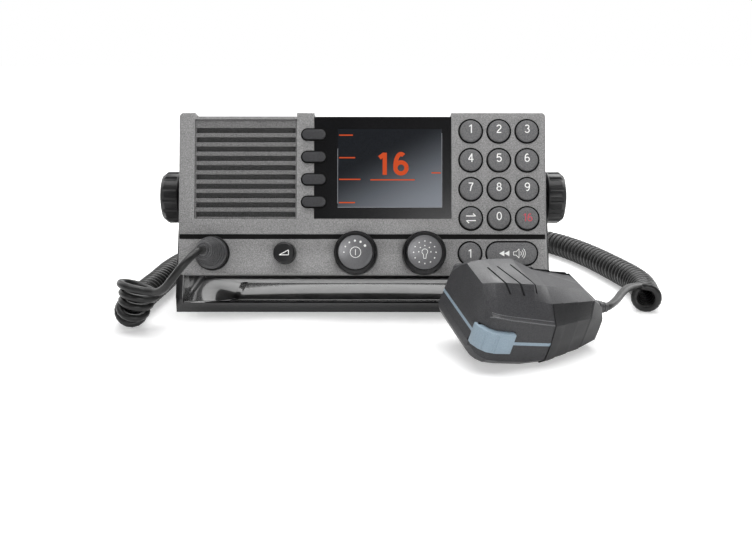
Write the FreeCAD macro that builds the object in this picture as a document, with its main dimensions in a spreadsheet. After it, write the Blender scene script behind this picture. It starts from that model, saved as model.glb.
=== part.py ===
"""A bracket-mounted VHF marine radio with a curly-cord hand microphone.

The radio is drawn in its own frame, with the tilt axis as the X axis, +Y towards the rear and +Z up, and
then leaned back by rest_tilt over the bracket. The hand microphone is drawn lying along +X on its back,
and then placed on the table in front. All lengths are millimetres and all angles are degrees.
"""

import FreeCAD, Part

import math
import os

import Sketcher

Vector = FreeCAD.Vector

SIZES = {
    # the bracket, which stands on the table with its middle over the origin
    "pivot_height": 72.0,
    "rest_tilt": 16.0,
    "side_clearance": 1.5,
    "arm_thickness": 5.0,
    "arm_web": 3.0,
    "arm_rim": 5.0,
    "arm_eye_radius": 15.5,
    "base_depth": 86.0,
    "base_thickness": 3.6,
    "base_lip": 6.8,
    "shoulder_height": 11.0,
    "gusset_size": 10.0,
    "mount_spacing_x": 180.0,
    "mount_spacing_y": 46.0,
    "mount_hole_radius": 2.75,
    # the moulded front
    "panel_height": 107.0,
    "panel_drop": 3.0,
    "panel_reach": 47.0,
    "panel_depth": 14.0,
    "panel_wall": 3.5,
    "panel_side_wall": 3.0,
    "panel_corner": 3.0,
    "panel_edge": 1.2,
    "top_step": 2.7,
    "lower_height": 23.4,
    "groove_height": 3.3,
    "groove_depth": 1.8,
    "sill_height": 10.1,
    "left_pillar": 10.3,
    "middle_pillar": 11.3,
    # the speaker and its louvres
    "grille_width": 67.2,
    "grille_margin": 1.8,
    "rib_count": 10,
    "rib_pitch": 6.15,
    "rib_height": 2.7,
    "grille_thickness": 3.6,
    "grille_setback": 0.9,
    "cloth_thickness": 0.5,
    "speaker_radius": 28.0,
    "speaker_depth": 26.0,
    "magnet_radius": 17.0,
    # the display
    "window_width": 90.3,
    "lens_recess": 2.2,
    "lens_thickness": 2.0,
    "screen_width": 68.4,
    "screen_height": 51.6,
    "screen_left": 15.6,
    "screen_sill": 7.6,
    "module_rim": 4.0,
    # the keys
    "key_radius": 7.1,
    "key_gap": 0.7,
    "key_pitch_x": 18.45,
    "key_pitch_z": 19.1,
    "key_left_margin": 12.6,
    "key_right_margin": 12.4,
    "key_top_margin": 12.5,
    "key_proud": 1.3,
    "key_flange": 1.1,
    "key_travel": 1.2,
    "control_row": 14.1,
    "replay_length": 32.4,
    "replay_inset": 22.6,
    "soft_key_length": 15.2,
    "soft_key_height": 6.3,
    "soft_key_pitch": 14.8,
    "soft_key_proud": 1.9,
    # the rotary controls, each one's place counted from the left edge of the front
    "volume_place": 116.5,
    "select_place": 160.9,
    "squelch_place": 70.2,
    "socket_place": 22.5,
    "knob_radius": 14.4,
    "knob_height": 13.0,
    "knob_lift": 1.4,
    "cap_radius": 10.9,
    "cap_recess": 1.0,
    "shaft_radius": 3.0,
    "shaft_push": 0.8,
    "squelch_radius": 7.3,
    "squelch_height": 8.5,
    "running_gap": 0.05,
    "clear_gap": 0.3,
    # the boards
    "board_setback": 8.0,
    "board_thickness": 1.6,
    "main_board_place": 12.0,
    # the housing behind the front
    "gasket_thickness": 1.2,
    "flange_thickness": 2.6,
    "flange_inset": 0.5,
    "housing_inset": 10.5,
    "housing_height": 94.0,
    "housing_reach": 40.0,
    "housing_wall": 3.0,
    "housing_corner": 5.0,
    "fin_count": 13,
    "fin_pitch": 11.0,
    "fin_thickness": 2.2,
    "fin_height": 5.0,
    "fin_margin": 7.0,
    "boss_radius": 14.0,
    "boss_depth": 24.0,
    "washer_thickness": 2.1,
    "washer_gap": 0.3,
    "rail_inset": 18.0,
    "rail_rise": 14.0,
    "shield_width": 70.0,
    "shield_height": 44.0,
    "shield_depth": 12.0,
    "socket_drop": 16.0,
    "socket_clearance": 12.0,
    "antenna_place": 62.0,
    "inlet_place": 70.0,
    # the clamp knobs
    "clamp_radius": 18.0,
    "clamp_length": 14.4,
    "clamp_gap": 0.3,
    "flute_count": 14,
    "stud_radius": 4.0,
    "stud_length": 36.0,
    # the microphone's plug
    "plug_radius": 10.3,
    "plug_length": 28.0,
    "plug_nose_radius": 5.6,
    "plug_tip_length": 5.0,
    # the hand microphone
    "mic_x": 53.0,
    "mic_y": -136.8,
    "mic_lift": 15.6,
    "mic_yaw": 21.4,
    "mic_pitch": 8.5,
    "mic_roll": 17.4,
    "mic_length": 89.0,
    "mic_half": 32.2,
    "mic_neck_half": 17.0,
    "nose_length": 13.5,
    "mic_end_half": 12.5,
    "mic_height": 43.0,
    "mic_neck_height": 34.0,
    "mic_ledge": 29.2,
    "mic_seam": 14.7,
    "seam_thickness": 2.0,
    "mic_wall": 2.5,
    "slot_width": 1.2,
    "neck_start": 44.0,
    "grip_first": 7.0,
    "grip_pitch": 10.9,
    "grip_thickness": 1.5,
    "grip_step": 0.6,
    "grip_floor": 0.45,
    "talk_key_reach": 19.0,
    "talk_key_height": 12.6,
    "talk_key_proud": 2.2,
    "talk_key_travel": 1.5,
    "hang_stud_place": 36.0,
    "hang_stud_radius": 5.5,
    "hang_stud_height": 9.0,
    "boot_radius": 3.6,
    "boot_length": 10.0,
    # the cord
    "cord_diameter": 5.0,
    "coil_diameter": 19.0,
}

doc = FreeCAD.newDocument("marine_radio")
sheet = doc.addObject("Spreadsheet::Sheet", "sizes")
for row, (word, number) in enumerate(SIZES.items(), start=1):
    sheet.set(f"A{row}", str(number))
    sheet.setAlias(f"A{row}", word)
doc.recompute()


class Size:
    """A number that remembers its formula in the sheet, so that a property can be bound to it."""

    def __init__(self, number, text=None):
        self.number = float(number)
        self.text = text or repr(float(number))

    @staticmethod
    def of(thing):
        return thing if isinstance(thing, Size) else Size(thing)

    def __add__(self, other):
        other = Size.of(other)
        return Size(self.number + other.number, f"({self.text} + {other.text})")

    def __sub__(self, other):
        other = Size.of(other)
        return Size(self.number - other.number, f"({self.text} - {other.text})")

    def __mul__(self, other):
        other = Size.of(other)
        return Size(self.number * other.number, f"({self.text} * {other.text})")

    def __truediv__(self, other):
        other = Size.of(other)
        return Size(self.number / other.number, f"({self.text} / {other.text})")

    def __neg__(self):
        return Size(-self.number, f"(-1 * {self.text})")

    def __radd__(self, other):
        return Size.of(other) + self

    def __rsub__(self, other):
        return Size.of(other) - self

    def __rmul__(self, other):
        return Size.of(other) * self


def sine(angle):
    return Size(math.sin(math.radians(angle.number)), f"sin({angle.text})")


def cosine(angle):
    return Size(math.cos(math.radians(angle.number)), f"cos({angle.text})")


class Sheet:
    """The spreadsheet's sizes as attributes: panel_width and so on."""

    def __getattr__(self, word):
        return Size(SIZES[word], f"sizes.{word}")


s = Sheet()


def bind(thing, name, size):
    thing.setExpression(name, Size.of(size).text)


# Shapes that a sketch can hold. Each one is a function that draws itself into a sketch.


def pin_point(sketch, geometry, point, x, y):
    """Hold a point of the sketch at x, y from the sketch's origin."""
    for kind, size in (("DistanceX", Size.of(x)), ("DistanceY", Size.of(y))):
        index = sketch.addConstraint(Sketcher.Constraint(kind, -1, 1, geometry, point, size.number))
        bind(sketch, f"Constraints[{index}]", size)


def polygon(*points):
    def draw(sketch):
        corners = [Vector(Size.of(x).number, Size.of(y).number, 0) for x, y in points]
        first = None
        count = len(corners)
        for i in range(count):
            line = sketch.addGeometry(Part.LineSegment(corners[i], corners[(i + 1) % count]), False)
            first = line if first is None else first
            if i:
                sketch.addConstraint(Sketcher.Constraint("Coincident", line - 1, 2, line, 1))
            pin_point(sketch, line, 1, *points[i])
        sketch.addConstraint(Sketcher.Constraint("Coincident", first + count - 1, 2, first, 1))

    return draw


def rectangle(left, bottom, right, top):
    return polygon((left, bottom), (right, bottom), (right, top), (left, top))


def circle(x, y, radius):
    radius = Size.of(radius)

    def draw(sketch):
        centre = Vector(Size.of(x).number, Size.of(y).number, 0)
        ring = sketch.addGeometry(Part.Circle(centre, Vector(0, 0, 1), radius.number), False)
        pin_point(sketch, ring, 3, x, y)
        index = sketch.addConstraint(Sketcher.Constraint("Radius", ring, radius.number))
        bind(sketch, f"Constraints[{index}]", radius)

    return draw


def stadium(x, y, length, height):
    """A level slot with round ends, length over all."""
    radius = Size.of(height) / 2
    reach = Size.of(length) / 2 - radius

    def draw(sketch):
        up = radius.number
        left = Vector((x - reach).number, Size.of(y).number, 0)
        right = Vector((x + reach).number, Size.of(y).number, 0)
        lift = Vector(0, up, 0)
        normal = Vector(0, 0, 1)
        turn = math.pi / 2
        end_left = Part.ArcOfCircle(Part.Circle(left, normal, up), turn, 3 * turn)
        end_right = Part.ArcOfCircle(Part.Circle(right, normal, up), -turn, turn)
        a = sketch.addGeometry(end_left, False)
        b = sketch.addGeometry(Part.LineSegment(left - lift, right - lift), False)
        c = sketch.addGeometry(end_right, False)
        d = sketch.addGeometry(Part.LineSegment(right + lift, left + lift), False)
        for one, one_end, two, two_end in ((a, 2, b, 1), (b, 2, c, 1), (c, 2, d, 1), (d, 2, a, 1)):
            sketch.addConstraint(Sketcher.Constraint("Coincident", one, one_end, two, two_end))
        pin_point(sketch, b, 1, x - reach, y - radius)
        pin_point(sketch, b, 2, x + reach, y - radius)
        pin_point(sketch, d, 1, x + reach, y + radius)
        pin_point(sketch, d, 2, x - reach, y + radius)
        for arc, x_centre in ((a, x - reach), (c, x + reach)):
            index = sketch.addConstraint(
                Sketcher.Constraint("DistanceX", -1, 1, arc, 3, x_centre.number)
            )
            bind(sketch, f"Constraints[{index}]", x_centre)

    return draw


PLANES = {"x": "YZ_Plane", "y": "XZ_Plane", "z": "XY_Plane"}


class Frame:
    """Where a group of pieces stands: its origin, its yaw about Z, pitch about Y and roll about X."""

    def __init__(self, x, y, z, yaw, pitch, roll):
        words = [Size.of(size).text for size in (x, y, z, yaw, pitch, roll)]
        base = "create(<<vector>>; {0}; {1}; {2})".format(*words)
        spin = "create(<<rotation>>; {3}; {4}; {5})".format(*words)
        self.text = f"create(<<placement>>; {base}; {spin})"

    def place(self, thing):
        thing.setExpression("Placement", self.text)


TABLE = Frame(0, 0, 0, 0, 0, 0)
RADIO = Frame(0, 0, s.pivot_height, 0, 0, -s.rest_tilt)
MIC = Frame(s.mic_x, s.mic_y, s.mic_lift, s.mic_yaw, s.mic_pitch, s.mic_roll)

NODES = []


class Piece:
    """One PartDesign body. Its centre is the point that its sketches are drawn about."""

    def __init__(self, name, frame, centre=(0, 0, 0)):
        self.name = name
        self.centre = [Size.of(size) for size in centre]
        self.body = doc.addObject("PartDesign::Body", name)
        self.body.Label = name
        self.features = 0
        self.sketches = []
        frame.place(self.body)
        NODES.append(self.body)

    def new(self, kind, word):
        self.features += 1
        return self.body.newObject(kind, f"{self.name}_{word}_{self.features}")

    def sketch(self, axis, at, shapes):
        """A sketch on the plane across an axis, at a place along it."""
        at = Size.of(at)
        x, y, z = self.centre
        base = {"x": (y, z, at), "y": (x, z, -at), "z": (x, y, at)}[axis]
        sketch = self.new("Sketcher::SketchObject", "sketch")
        planes = {plane.Role: plane for plane in self.body.Origin.OriginFeatures}
        sketch.AttachmentSupport = [(planes[PLANES[axis]], "")]
        sketch.MapMode = "FlatFace"
        for letter, size in zip("xyz", base):
            bind(sketch, f"AttachmentOffset.Base.{letter}", size)
        for shape in shapes:
            shape(sketch)
        self.sketches.append(sketch)
        return sketch

    def extrude(self, kind, axis, start, end, shapes):
        start, end = Size.of(start), Size.of(end)
        sketch = self.sketch(axis, start, shapes)
        feature = self.new(f"PartDesign::{kind}", kind.lower())
        feature.Profile = sketch
        ahead = end.number > start.number
        bind(feature, "Length", end - start if ahead else start - end)
        along_normal = ahead != (axis == "y")  # a sketch across Y faces towards -Y
        feature.Reversed = along_normal if kind == "Pocket" else not along_normal
        sketch.Visibility = False
        return feature

    def add(self, axis, start, end, *shapes):
        return self.extrude("Pad", axis, start, end, shapes)

    def cut(self, axis, start, end, *shapes):
        before = self.volume()
        feature = self.extrude("Pocket", axis, start, end, shapes)
        doc.recompute()
        if self.volume() > before - 1e-3:
            raise ValueError(f"{feature.Name} cuts nothing")
        return feature

    def volume(self):
        doc.recompute()
        return self.body.Shape.Volume if self.body.Tip else 0.0

    def turn(self, axis, *points, groove=False):
        """Turn a profile of (place along the axis, radius) points about the piece's centre line."""
        keep = list(self.centre)
        along = {"x": 0, "y": 1, "z": 2}[axis]
        self.centre[along] = Size(0.0)
        across = "y" if axis == "z" else "z"
        level = self.centre[1] if axis == "z" else self.centre[2]
        if axis == "x":
            drawn = [(place, radius) for place, radius in points]
            line = "H_Axis"
        else:
            drawn = [(radius, place) for place, radius in points]
            line = "V_Axis"
        sketch = self.sketch(across, level, [polygon(*drawn)])
        self.centre = keep
        kind = "Groove" if groove else "Revolution"
        feature = self.new(f"PartDesign::{kind}", kind.lower())
        feature.Profile = sketch
        feature.ReferenceAxis = (sketch, [line])
        feature.Angle = 360
        return feature

    def loft(self, sections, cutting=False):
        """A ruled loft through (place along X, outline points across X) sections."""
        sketches = [self.sketch("x", place, [polygon(*points)]) for place, points in sections]
        kind = "SubtractiveLoft" if cutting else "AdditiveLoft"
        feature = self.new(f"PartDesign::{kind}", "loft")
        feature.Profile = sketches[0]
        feature.Sections = sketches[1:]
        feature.Ruled = True
        return feature

    def repeat_round(self, feature, sketch, count):
        pattern = self.new("PartDesign::PolarPattern", "pattern")
        pattern.Originals = [feature]
        pattern.Axis = (sketch, ["N_Axis"])
        pattern.Angle = 360
        bind(pattern, "Occurrences", count)
        self.body.Tip = pattern
        return pattern

    def repeat_along(self, feature, sketch, axis, pitch, count):
        pattern = self.new("PartDesign::LinearPattern", "pattern")
        pattern.Originals = [feature]
        pattern.Direction = (sketch, [axis])
        bind(pattern, "Length", pitch * (count - 1))
        bind(pattern, "Occurrences", count)
        self.body.Tip = pattern
        return pattern

    def round_edges(self, radius, wanted):
        """Fillet the edges that wanted() picks from the body as it stands."""
        doc.recompute()
        edges = [f"Edge{i}" for i, edge in enumerate(self.body.Shape.Edges, start=1) if wanted(edge)]
        if not edges:
            raise ValueError(f"{self.name} has no edge to round")
        base = self.body.Tip
        fillet = self.new("PartDesign::Fillet", "fillet")
        fillet.Base = (base, edges)
        bind(fillet, "Radius", radius)
        self.body.Tip = fillet
        return fillet


def group(name, frame, solids):
    """Several like solids that share one node."""
    compound = doc.addObject("Part::Compound", name)
    compound.Label = name
    compound.Links = solids
    frame.place(compound)
    NODES.append(compound)
    return compound


def rod(name, axis, x, y, z, radius, length):
    """A plain cylinder from a point, along +X, +Y or +Z."""
    cylinder = doc.addObject("Part::Cylinder", name)
    bind(cylinder, "Radius", radius)
    bind(cylinder, "Height", length)
    turn = {
        "x": "create(<<rotation>>; create(<<vector>>; 0; 1; 0); 90)",
        "y": "create(<<rotation>>; create(<<vector>>; 1; 0; 0); -90)",
        "z": "create(<<rotation>>; 0; 0; 0)",
    }[axis]
    words = [Size.of(size).text for size in (x, y, z)]
    base = "create(<<vector>>; {0}; {1}; {2})".format(*words)
    cylinder.setExpression("Placement", f"create(<<placement>>; {base}; {turn})")
    return cylinder


def fuse(name, *solids):
    joined = doc.addObject("Part::MultiFuse", name)
    joined.Shapes = list(solids)
    return joined


# Places that several pieces share, in the radio's frame.

keypad_width = s.key_left_margin + 2 * s.key_pitch_x + s.key_right_margin
panel_width = s.left_pillar + s.grille_width + s.middle_pillar + s.window_width + keypad_width
arm_spacing = panel_width + 2 * s.side_clearance
boss_reach = arm_spacing / 2 - s.washer_thickness - s.washer_gap
housing_width = panel_width - 2 * s.housing_inset
panel_left = -panel_width / 2
panel_right = panel_width / 2
panel_top = s.panel_height / 2 - s.panel_drop
panel_bottom = -s.panel_height / 2 - s.panel_drop
face = -s.panel_reach
inner_face = face + s.panel_wall
panel_back = face + s.panel_depth
step_top = panel_top - s.top_step
sill = panel_bottom + s.lower_height + s.groove_height + s.sill_height
grille_left = panel_left + s.left_pillar
grille_right = grille_left + s.grille_width
window_left = grille_right + s.middle_pillar
window_right = window_left + s.window_width
row_height = panel_bottom + s.control_row
lens_seat = face + s.lens_recess
screen_x0 = window_left + s.screen_left
screen_x1 = screen_x0 + s.screen_width
screen_z0 = sill + s.screen_sill
screen_z1 = screen_z0 + s.screen_height
board_front = face + s.board_setback
board_back = board_front + s.board_thickness
soft_key_x = window_left
soft_key_z0 = sill + 11.1
grille_top = step_top - s.grille_margin
cavity_left = panel_left + s.panel_side_wall
cavity_right = panel_right - s.panel_side_wall
cavity_bottom = panel_bottom + s.panel_side_wall
cavity_top = step_top - s.panel_side_wall
keys_x2 = panel_right - s.key_right_margin
keys_z0 = panel_top - s.key_top_margin
replay_x = panel_right - s.replay_inset
power_key_x = keys_x2 - 2 * s.key_pitch_x - 0.6
volume_x = panel_left + s.volume_place
select_x = panel_left + s.select_place
squelch_x = panel_left + s.squelch_place
socket_x = panel_left + s.socket_place
post_radius = Size(3.0)
screw_radius = Size(1.5)
screw_x = panel_width / 2 - 5.6
screw_upper = keys_z0 - s.key_pitch_z / 2
screw_lower = keys_z0 - s.key_pitch_z * 3.6

KEYPAD = [
    ("key_1", 0, 0),
    ("key_2", 1, 0),
    ("key_3", 2, 0),
    ("key_4", 0, 1),
    ("key_5", 1, 1),
    ("key_6", 2, 1),
    ("key_7", 0, 2),
    ("key_8", 1, 2),
    ("key_9", 2, 2),
    ("key_watch", 0, 3),
    ("key_0", 1, 3),
    ("key_call", 2, 3),
]


def key_place(column, row):
    return keys_x2 - (2 - column) * s.key_pitch_x, keys_z0 - row * s.key_pitch_z


def round_key_places():
    places = [(name, *key_place(column, row)) for name, column, row in KEYPAD]
    return places + [("key_power_level", power_key_x, row_height)]


def soft_key_places():
    return [(f"soft_key_{i + 1}", soft_key_z0 + (3 - i) * s.soft_key_pitch) for i in range(4)]


def upright(edge, axis):
    """True for a straight edge along an axis."""
    if len(edge.Vertexes) < 2:
        return False
    way = edge.Vertexes[1].Point - edge.Vertexes[0].Point
    return way.Length > 1e-6 and abs(abs(way.normalize().dot(axis)) - 1) < 1e-6


def in_frame_of(body, point):
    return body.Placement.inverse().multVec(point)


# The radio's front.


def outline(inset):
    """The front's outline, drawn in by an inset: the louvres and the display start a step lower."""
    top, low = panel_top - inset, step_top - inset
    left, right = panel_left + inset, panel_right - inset
    bottom = panel_bottom + inset
    return polygon(
        (left, bottom),
        (right, bottom),
        (right, top),
        (window_right + inset, top),
        (window_right + inset, low),
        (window_left - inset, low),
        (window_left - inset, top),
        (grille_right + inset, top),
        (grille_right + inset, low),
        (grille_left - inset, low),
        (grille_left - inset, top),
        (left, top),
    )


def front_panel():
    """The moulded front: pillars, recesses for the louvres and the display, and the key holes."""
    piece = Piece("front_panel", RADIO)
    piece.add("y", panel_back, face, rectangle(panel_left, panel_bottom, panel_right, panel_top))

    def corner(edge):
        return upright(edge, piece.body.Placement.Rotation.multVec(Vector(0, 1, 0)))

    piece.round_edges(s.panel_corner, corner)

    def front_edge(edge):
        return all(
            abs(in_frame_of(piece.body, vertex.Point).y - face.number) < 1e-3
            for vertex in edge.Vertexes
        )

    piece.round_edges(s.panel_edge, front_edge)
    # the steps between the pillars, where the louvres and the display start lower
    over = panel_top + 1
    piece.cut(
        "y",
        face - 1,
        panel_back,
        rectangle(grille_left, step_top, grille_right, over),
        rectangle(window_left, step_top, window_right, over),
    )
    piece.cut("y", panel_back, inner_face, outline(s.panel_side_wall))
    groove_bottom = panel_bottom + s.lower_height
    piece.cut(
        "y",
        face - 1,
        face + s.groove_depth,
        rectangle(panel_left - 1, groove_bottom, panel_right + 1, groove_bottom + s.groove_height),
    )
    piece.cut(
        "y",
        face - 1,
        lens_seat,
        rectangle(window_left, sill, window_right, step_top + 1),
    )
    hole = s.key_radius + s.key_gap
    slot = 2 * s.key_gap
    holes = [circle(x, z, hole) for _, x, z in round_key_places()]
    holes += [stadium(replay_x, row_height, s.replay_length + slot, 2 * hole)]
    holes += [
        stadium(soft_key_x, z, s.soft_key_length + slot, s.soft_key_height + slot)
        for _, z in soft_key_places()
    ]
    shaft_hole = s.shaft_radius + s.clear_gap
    holes += [circle(x, row_height, shaft_hole) for x in (volume_x, select_x, squelch_x)]
    holes += [circle(socket_x, row_height, socket_barrel + s.running_gap)]
    holes += [rectangle(grille_left, sill, grille_right, grille_top)]
    holes += [rectangle(screen_x0, screen_z0, screen_x1, screen_z1)]
    piece.cut("y", face - 1, inner_face + 1, *holes)
    # screw posts in the corners, and short posts that carry the control board
    posts = [
        circle(side * screw_x, z, post_radius) for side in (-1, 1) for z in (screw_upper, screw_lower)
    ]
    piece.add("y", inner_face, panel_back, *posts)
    piece.cut(
        "y",
        panel_back,
        inner_face + 1,
        *[circle(side * screw_x, z, screw_radius) for side in (-1, 1) for z in (screw_upper, screw_lower)],
    )
    piece.add("y", inner_face, board_front, *[circle(x, z, 2.5) for x, z in board_posts()])
    return piece


def board_posts():
    return [
        (cavity_right - 2.5, keys_z0 - s.key_pitch_z * 1.5),
        (cavity_right - 2.5, keys_z0 - s.key_pitch_z * 2.5),
        (window_left + 3.2, sill - 5.6),
        (window_right - 6.0, sill - 4.2),
        (squelch_x - 13.0, row_height),
    ]


socket_barrel = Size(8.6)
socket_flange = Size(11.4)


def speaker_grille():
    """The louvred insert: a band along the top and level ribs with open slots between them."""
    piece = Piece("speaker_grille", RADIO)
    front = face + s.grille_setback
    back = front + s.grille_thickness
    left, right = grille_left + s.clear_gap / 2, grille_right - s.clear_gap / 2
    bottom, top = sill + s.clear_gap / 2, grille_top - s.clear_gap / 2
    under_wall = cavity_top - s.clear_gap
    lip = 1.5
    piece.add("y", inner_face, front, rectangle(left, bottom, right, top))
    piece.add("y", back, inner_face, rectangle(left, bottom, right, under_wall))
    piece.add(
        "y",
        back,
        inner_face + s.clear_gap / 3,
        rectangle(left - lip, bottom - lip, right + lip, under_wall),
    )
    slot_height = s.rib_pitch - s.rib_height
    slot_bottom = bottom + 1.2
    cut = piece.cut(
        "y",
        front - 1,
        back + 1,
        rectangle(left + 0.8, slot_bottom, right - 0.8, slot_bottom + slot_height),
    )
    piece.repeat_along(cut, piece.sketches[-1], "V_Axis", s.rib_pitch, s.rib_count)
    return piece


def speaker_cloth():
    """The dark cloth that keeps water out behind the louvres."""
    piece = Piece("speaker_cloth", RADIO)
    near = face + s.grille_setback + s.grille_thickness
    piece.add(
        "y",
        near,
        near + s.cloth_thickness,
        rectangle(grille_left - 1.2, sill - 1.2, grille_right + 1.2, cavity_top - s.clear_gap),
    )
    return piece


def speaker_driver():
    """The loudspeaker: rim, basket and magnet, turned about its own axis."""
    centre_x = (grille_left + grille_right) / 2
    centre_z = (sill + step_top - s.panel_side_wall) / 2
    piece = Piece("speaker_driver", RADIO, (centre_x, 0, centre_z))
    near = face + s.grille_setback + s.grille_thickness + s.cloth_thickness
    far = near + s.speaker_depth
    rim = s.speaker_radius
    piece.turn(
        "y",
        (near + 6, 0),
        (near + 6, s.magnet_radius - 7),
        (near, rim - 3),
        (near, rim),
        (near + 2.2, rim),
        (near + 2.2, rim - 2.5),
        (near + 13, s.magnet_radius),
        (far, s.magnet_radius),
        (far, 0),
    )
    return piece


def display_window():
    """The hard clear lens over the display, notched round the four soft keys."""
    piece = Piece("display_window", RADIO)
    gap = s.clear_gap / 2
    front = lens_seat - s.lens_thickness
    piece.add(
        "y",
        lens_seat,
        front,
        rectangle(window_left + gap, sill + gap, window_right - gap, step_top - gap),
    )
    slot = 2 * s.key_gap
    piece.cut(
        "y",
        front - 1,
        lens_seat + 1,
        *[
            stadium(soft_key_x, z, s.soft_key_length + slot, s.soft_key_height + slot)
            for _, z in soft_key_places()
        ],
    )
    return piece


def lcd_module():
    """The display module in its tray, with the screen standing in the panel's opening."""
    piece = Piece("lcd_module", RADIO)
    rim = s.module_rim
    back = board_front - s.clear_gap / 3
    piece.add(
        "y",
        inner_face + s.clear_gap / 3,
        back,
        rectangle(screen_x0 - 3, screen_z0 - rim, screen_x1 + rim, screen_z1 + rim),
    )
    gap = s.clear_gap
    piece.add(
        "y",
        inner_face + s.clear_gap / 3,
        lens_seat + s.clear_gap / 3,
        rectangle(screen_x0 + gap, screen_z0 + gap, screen_x1 - gap, screen_z1 - gap),
    )
    return piece


def control_board():
    """The circuit board behind the controls, with the three rotary encoders on its front."""
    piece = Piece("control_board", RADIO)
    step_x = grille_right + 5
    left = squelch_x - 18
    low = cavity_bottom + 1
    high = sill - 3.4
    piece.add(
        "y",
        board_front,
        board_back,
        polygon(
            (left, low),
            (cavity_right - 1, low),
            (cavity_right - 1, cavity_top - 1),
            (step_x, cavity_top - 1),
            (step_x, high),
            (left, high),
        ),
    )
    encoder = 6.0
    near = inner_face + s.clear_gap / 3
    places = (volume_x, select_x, squelch_x)
    piece.add(
        "y",
        board_front,
        near,
        *[rectangle(x - encoder, row_height - encoder, x + encoder, row_height + encoder) for x in places],
    )
    bore = s.shaft_radius + s.running_gap
    piece.cut("y", near, board_front - 0.6, *[circle(x, row_height, bore) for x in places])
    cuts = [circle(x, z, 1.2) for x, z in board_posts()]
    cuts += [circle(screw_x, z, post_radius + 0.4) for z in (screw_upper, screw_lower)]
    piece.cut("y", board_front, board_back, *cuts)
    return piece


def round_keys():
    """The keypad's round keys: a cap that stands proud and a flange that keeps it behind the panel."""
    for name, x, z in round_key_places():
        key = Piece(name, RADIO, (x, 0, z))
        behind = inner_face + s.clear_gap / 3
        front = face - s.key_proud
        edge = 0.5
        key.turn(
            "y",
            (front, 0),
            (front, s.key_radius - edge),
            (front + edge, s.key_radius),
            (behind, s.key_radius),
            (behind, s.key_radius + s.key_gap + 0.4),
            (behind + s.key_flange, s.key_radius + s.key_gap + 0.4),
            (behind + s.key_flange, 0),
        )


def long_keys():
    """The replay key and the four soft keys beside the display."""
    behind = inner_face + s.clear_gap / 3
    flange = behind + s.key_flange
    grow = 2 * (s.key_gap + 0.9)
    replay = Piece("key_replay", RADIO)
    replay.add("y", behind, face - s.key_proud, stadium(replay_x, row_height, s.replay_length, 2 * s.key_radius))
    replay.add(
        "y",
        behind,
        flange,
        stadium(replay_x, row_height, s.replay_length + grow, 2 * s.key_radius + grow),
    )
    for name, z in soft_key_places():
        key = Piece(name, RADIO)
        length, height = s.soft_key_length, s.soft_key_height
        key.add("y", behind, face - s.soft_key_proud, stadium(soft_key_x, z, length, height))
        key.add("y", behind, flange, stadium(soft_key_x, z, length + 2 * s.key_gap + 1.2, height + grow))


def knob_and_shaft(word, x):
    """A push-and-turn control: the encoder's shaft, the notched knob and the pale cap set in its face."""
    shaft = Piece(f"{word}_shaft", RADIO, (x, 0, row_height))
    base = face - s.knob_lift
    front = base - s.knob_height
    tip = front + s.cap_recess + 3.4
    shaft.add("y", board_front - 0.8 - s.shaft_push, tip, circle(0, 0, s.shaft_radius))
    knob = Piece(f"{word}_knob", RADIO, (x, 0, row_height))
    seat = front + s.cap_recess + 2.0
    rim = s.knob_radius
    bore = s.shaft_radius + s.running_gap
    knob.turn(
        "y",
        (base, bore),
        (base, rim - 0.6),
        (base - 0.6, rim),
        (front + 4.0, rim - 0.4),
        (front, s.cap_radius + 1.0),
        (front, s.cap_radius + s.running_gap),
        (seat, s.cap_radius + s.running_gap),
        (seat, 0),
        (tip - 0.3, 0),
        (tip - 0.3, bore),
    )
    notch = knob.cut("y", front - 1, front + 3.6, circle(0, rim + 0.6, 1.7))
    knob.repeat_round(notch, knob.sketches[-1], 12)
    cap = Piece(f"{word}_cap", RADIO, (x, 0, row_height))
    cap.turn(
        "y",
        (seat, 0),
        (seat, s.cap_radius),
        (front + 0.5, s.cap_radius),
        (front + s.cap_recess, s.cap_radius - 1.6),
        (front + s.cap_recess, 0),
    )


def squelch_knob():
    """The small squelch knob, in one piece with its shaft."""
    knob = Piece("squelch_knob", RADIO, (squelch_x, 0, row_height))
    base = face - s.knob_lift / 2
    front = base - s.squelch_height
    rim = s.squelch_radius
    knob.turn(
        "y",
        (board_front - 0.8, 0),
        (board_front - 0.8, s.shaft_radius),
        (base, s.shaft_radius),
        (base, rim),
        (front + 1.2, rim - 0.3),
        (front, rim - 1.5),
        (front, 0),
    )
    notch = knob.cut("y", front - 1, front + 2.6, circle(0, rim + 0.7, 1.4))
    knob.repeat_round(notch, knob.sketches[-1], 8)


def mic_socket():
    """The round socket in the front that takes the microphone's plug."""
    piece = Piece("mic_socket", RADIO, (socket_x, 0, row_height))
    inside = board_front
    piece.turn(
        "y",
        (face - 1.4, plug_stem + s.running_gap),
        (face - 1.4, socket_flange - 0.6),
        (face - 0.8, socket_flange),
        (face, socket_flange),
        (face, socket_barrel),
        (inside, socket_barrel),
        (inside, 0),
        (inside - 2, 0),
        (inside - 2, plug_stem + s.running_gap),
    )


plug_stem = Size(7.0)


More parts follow.
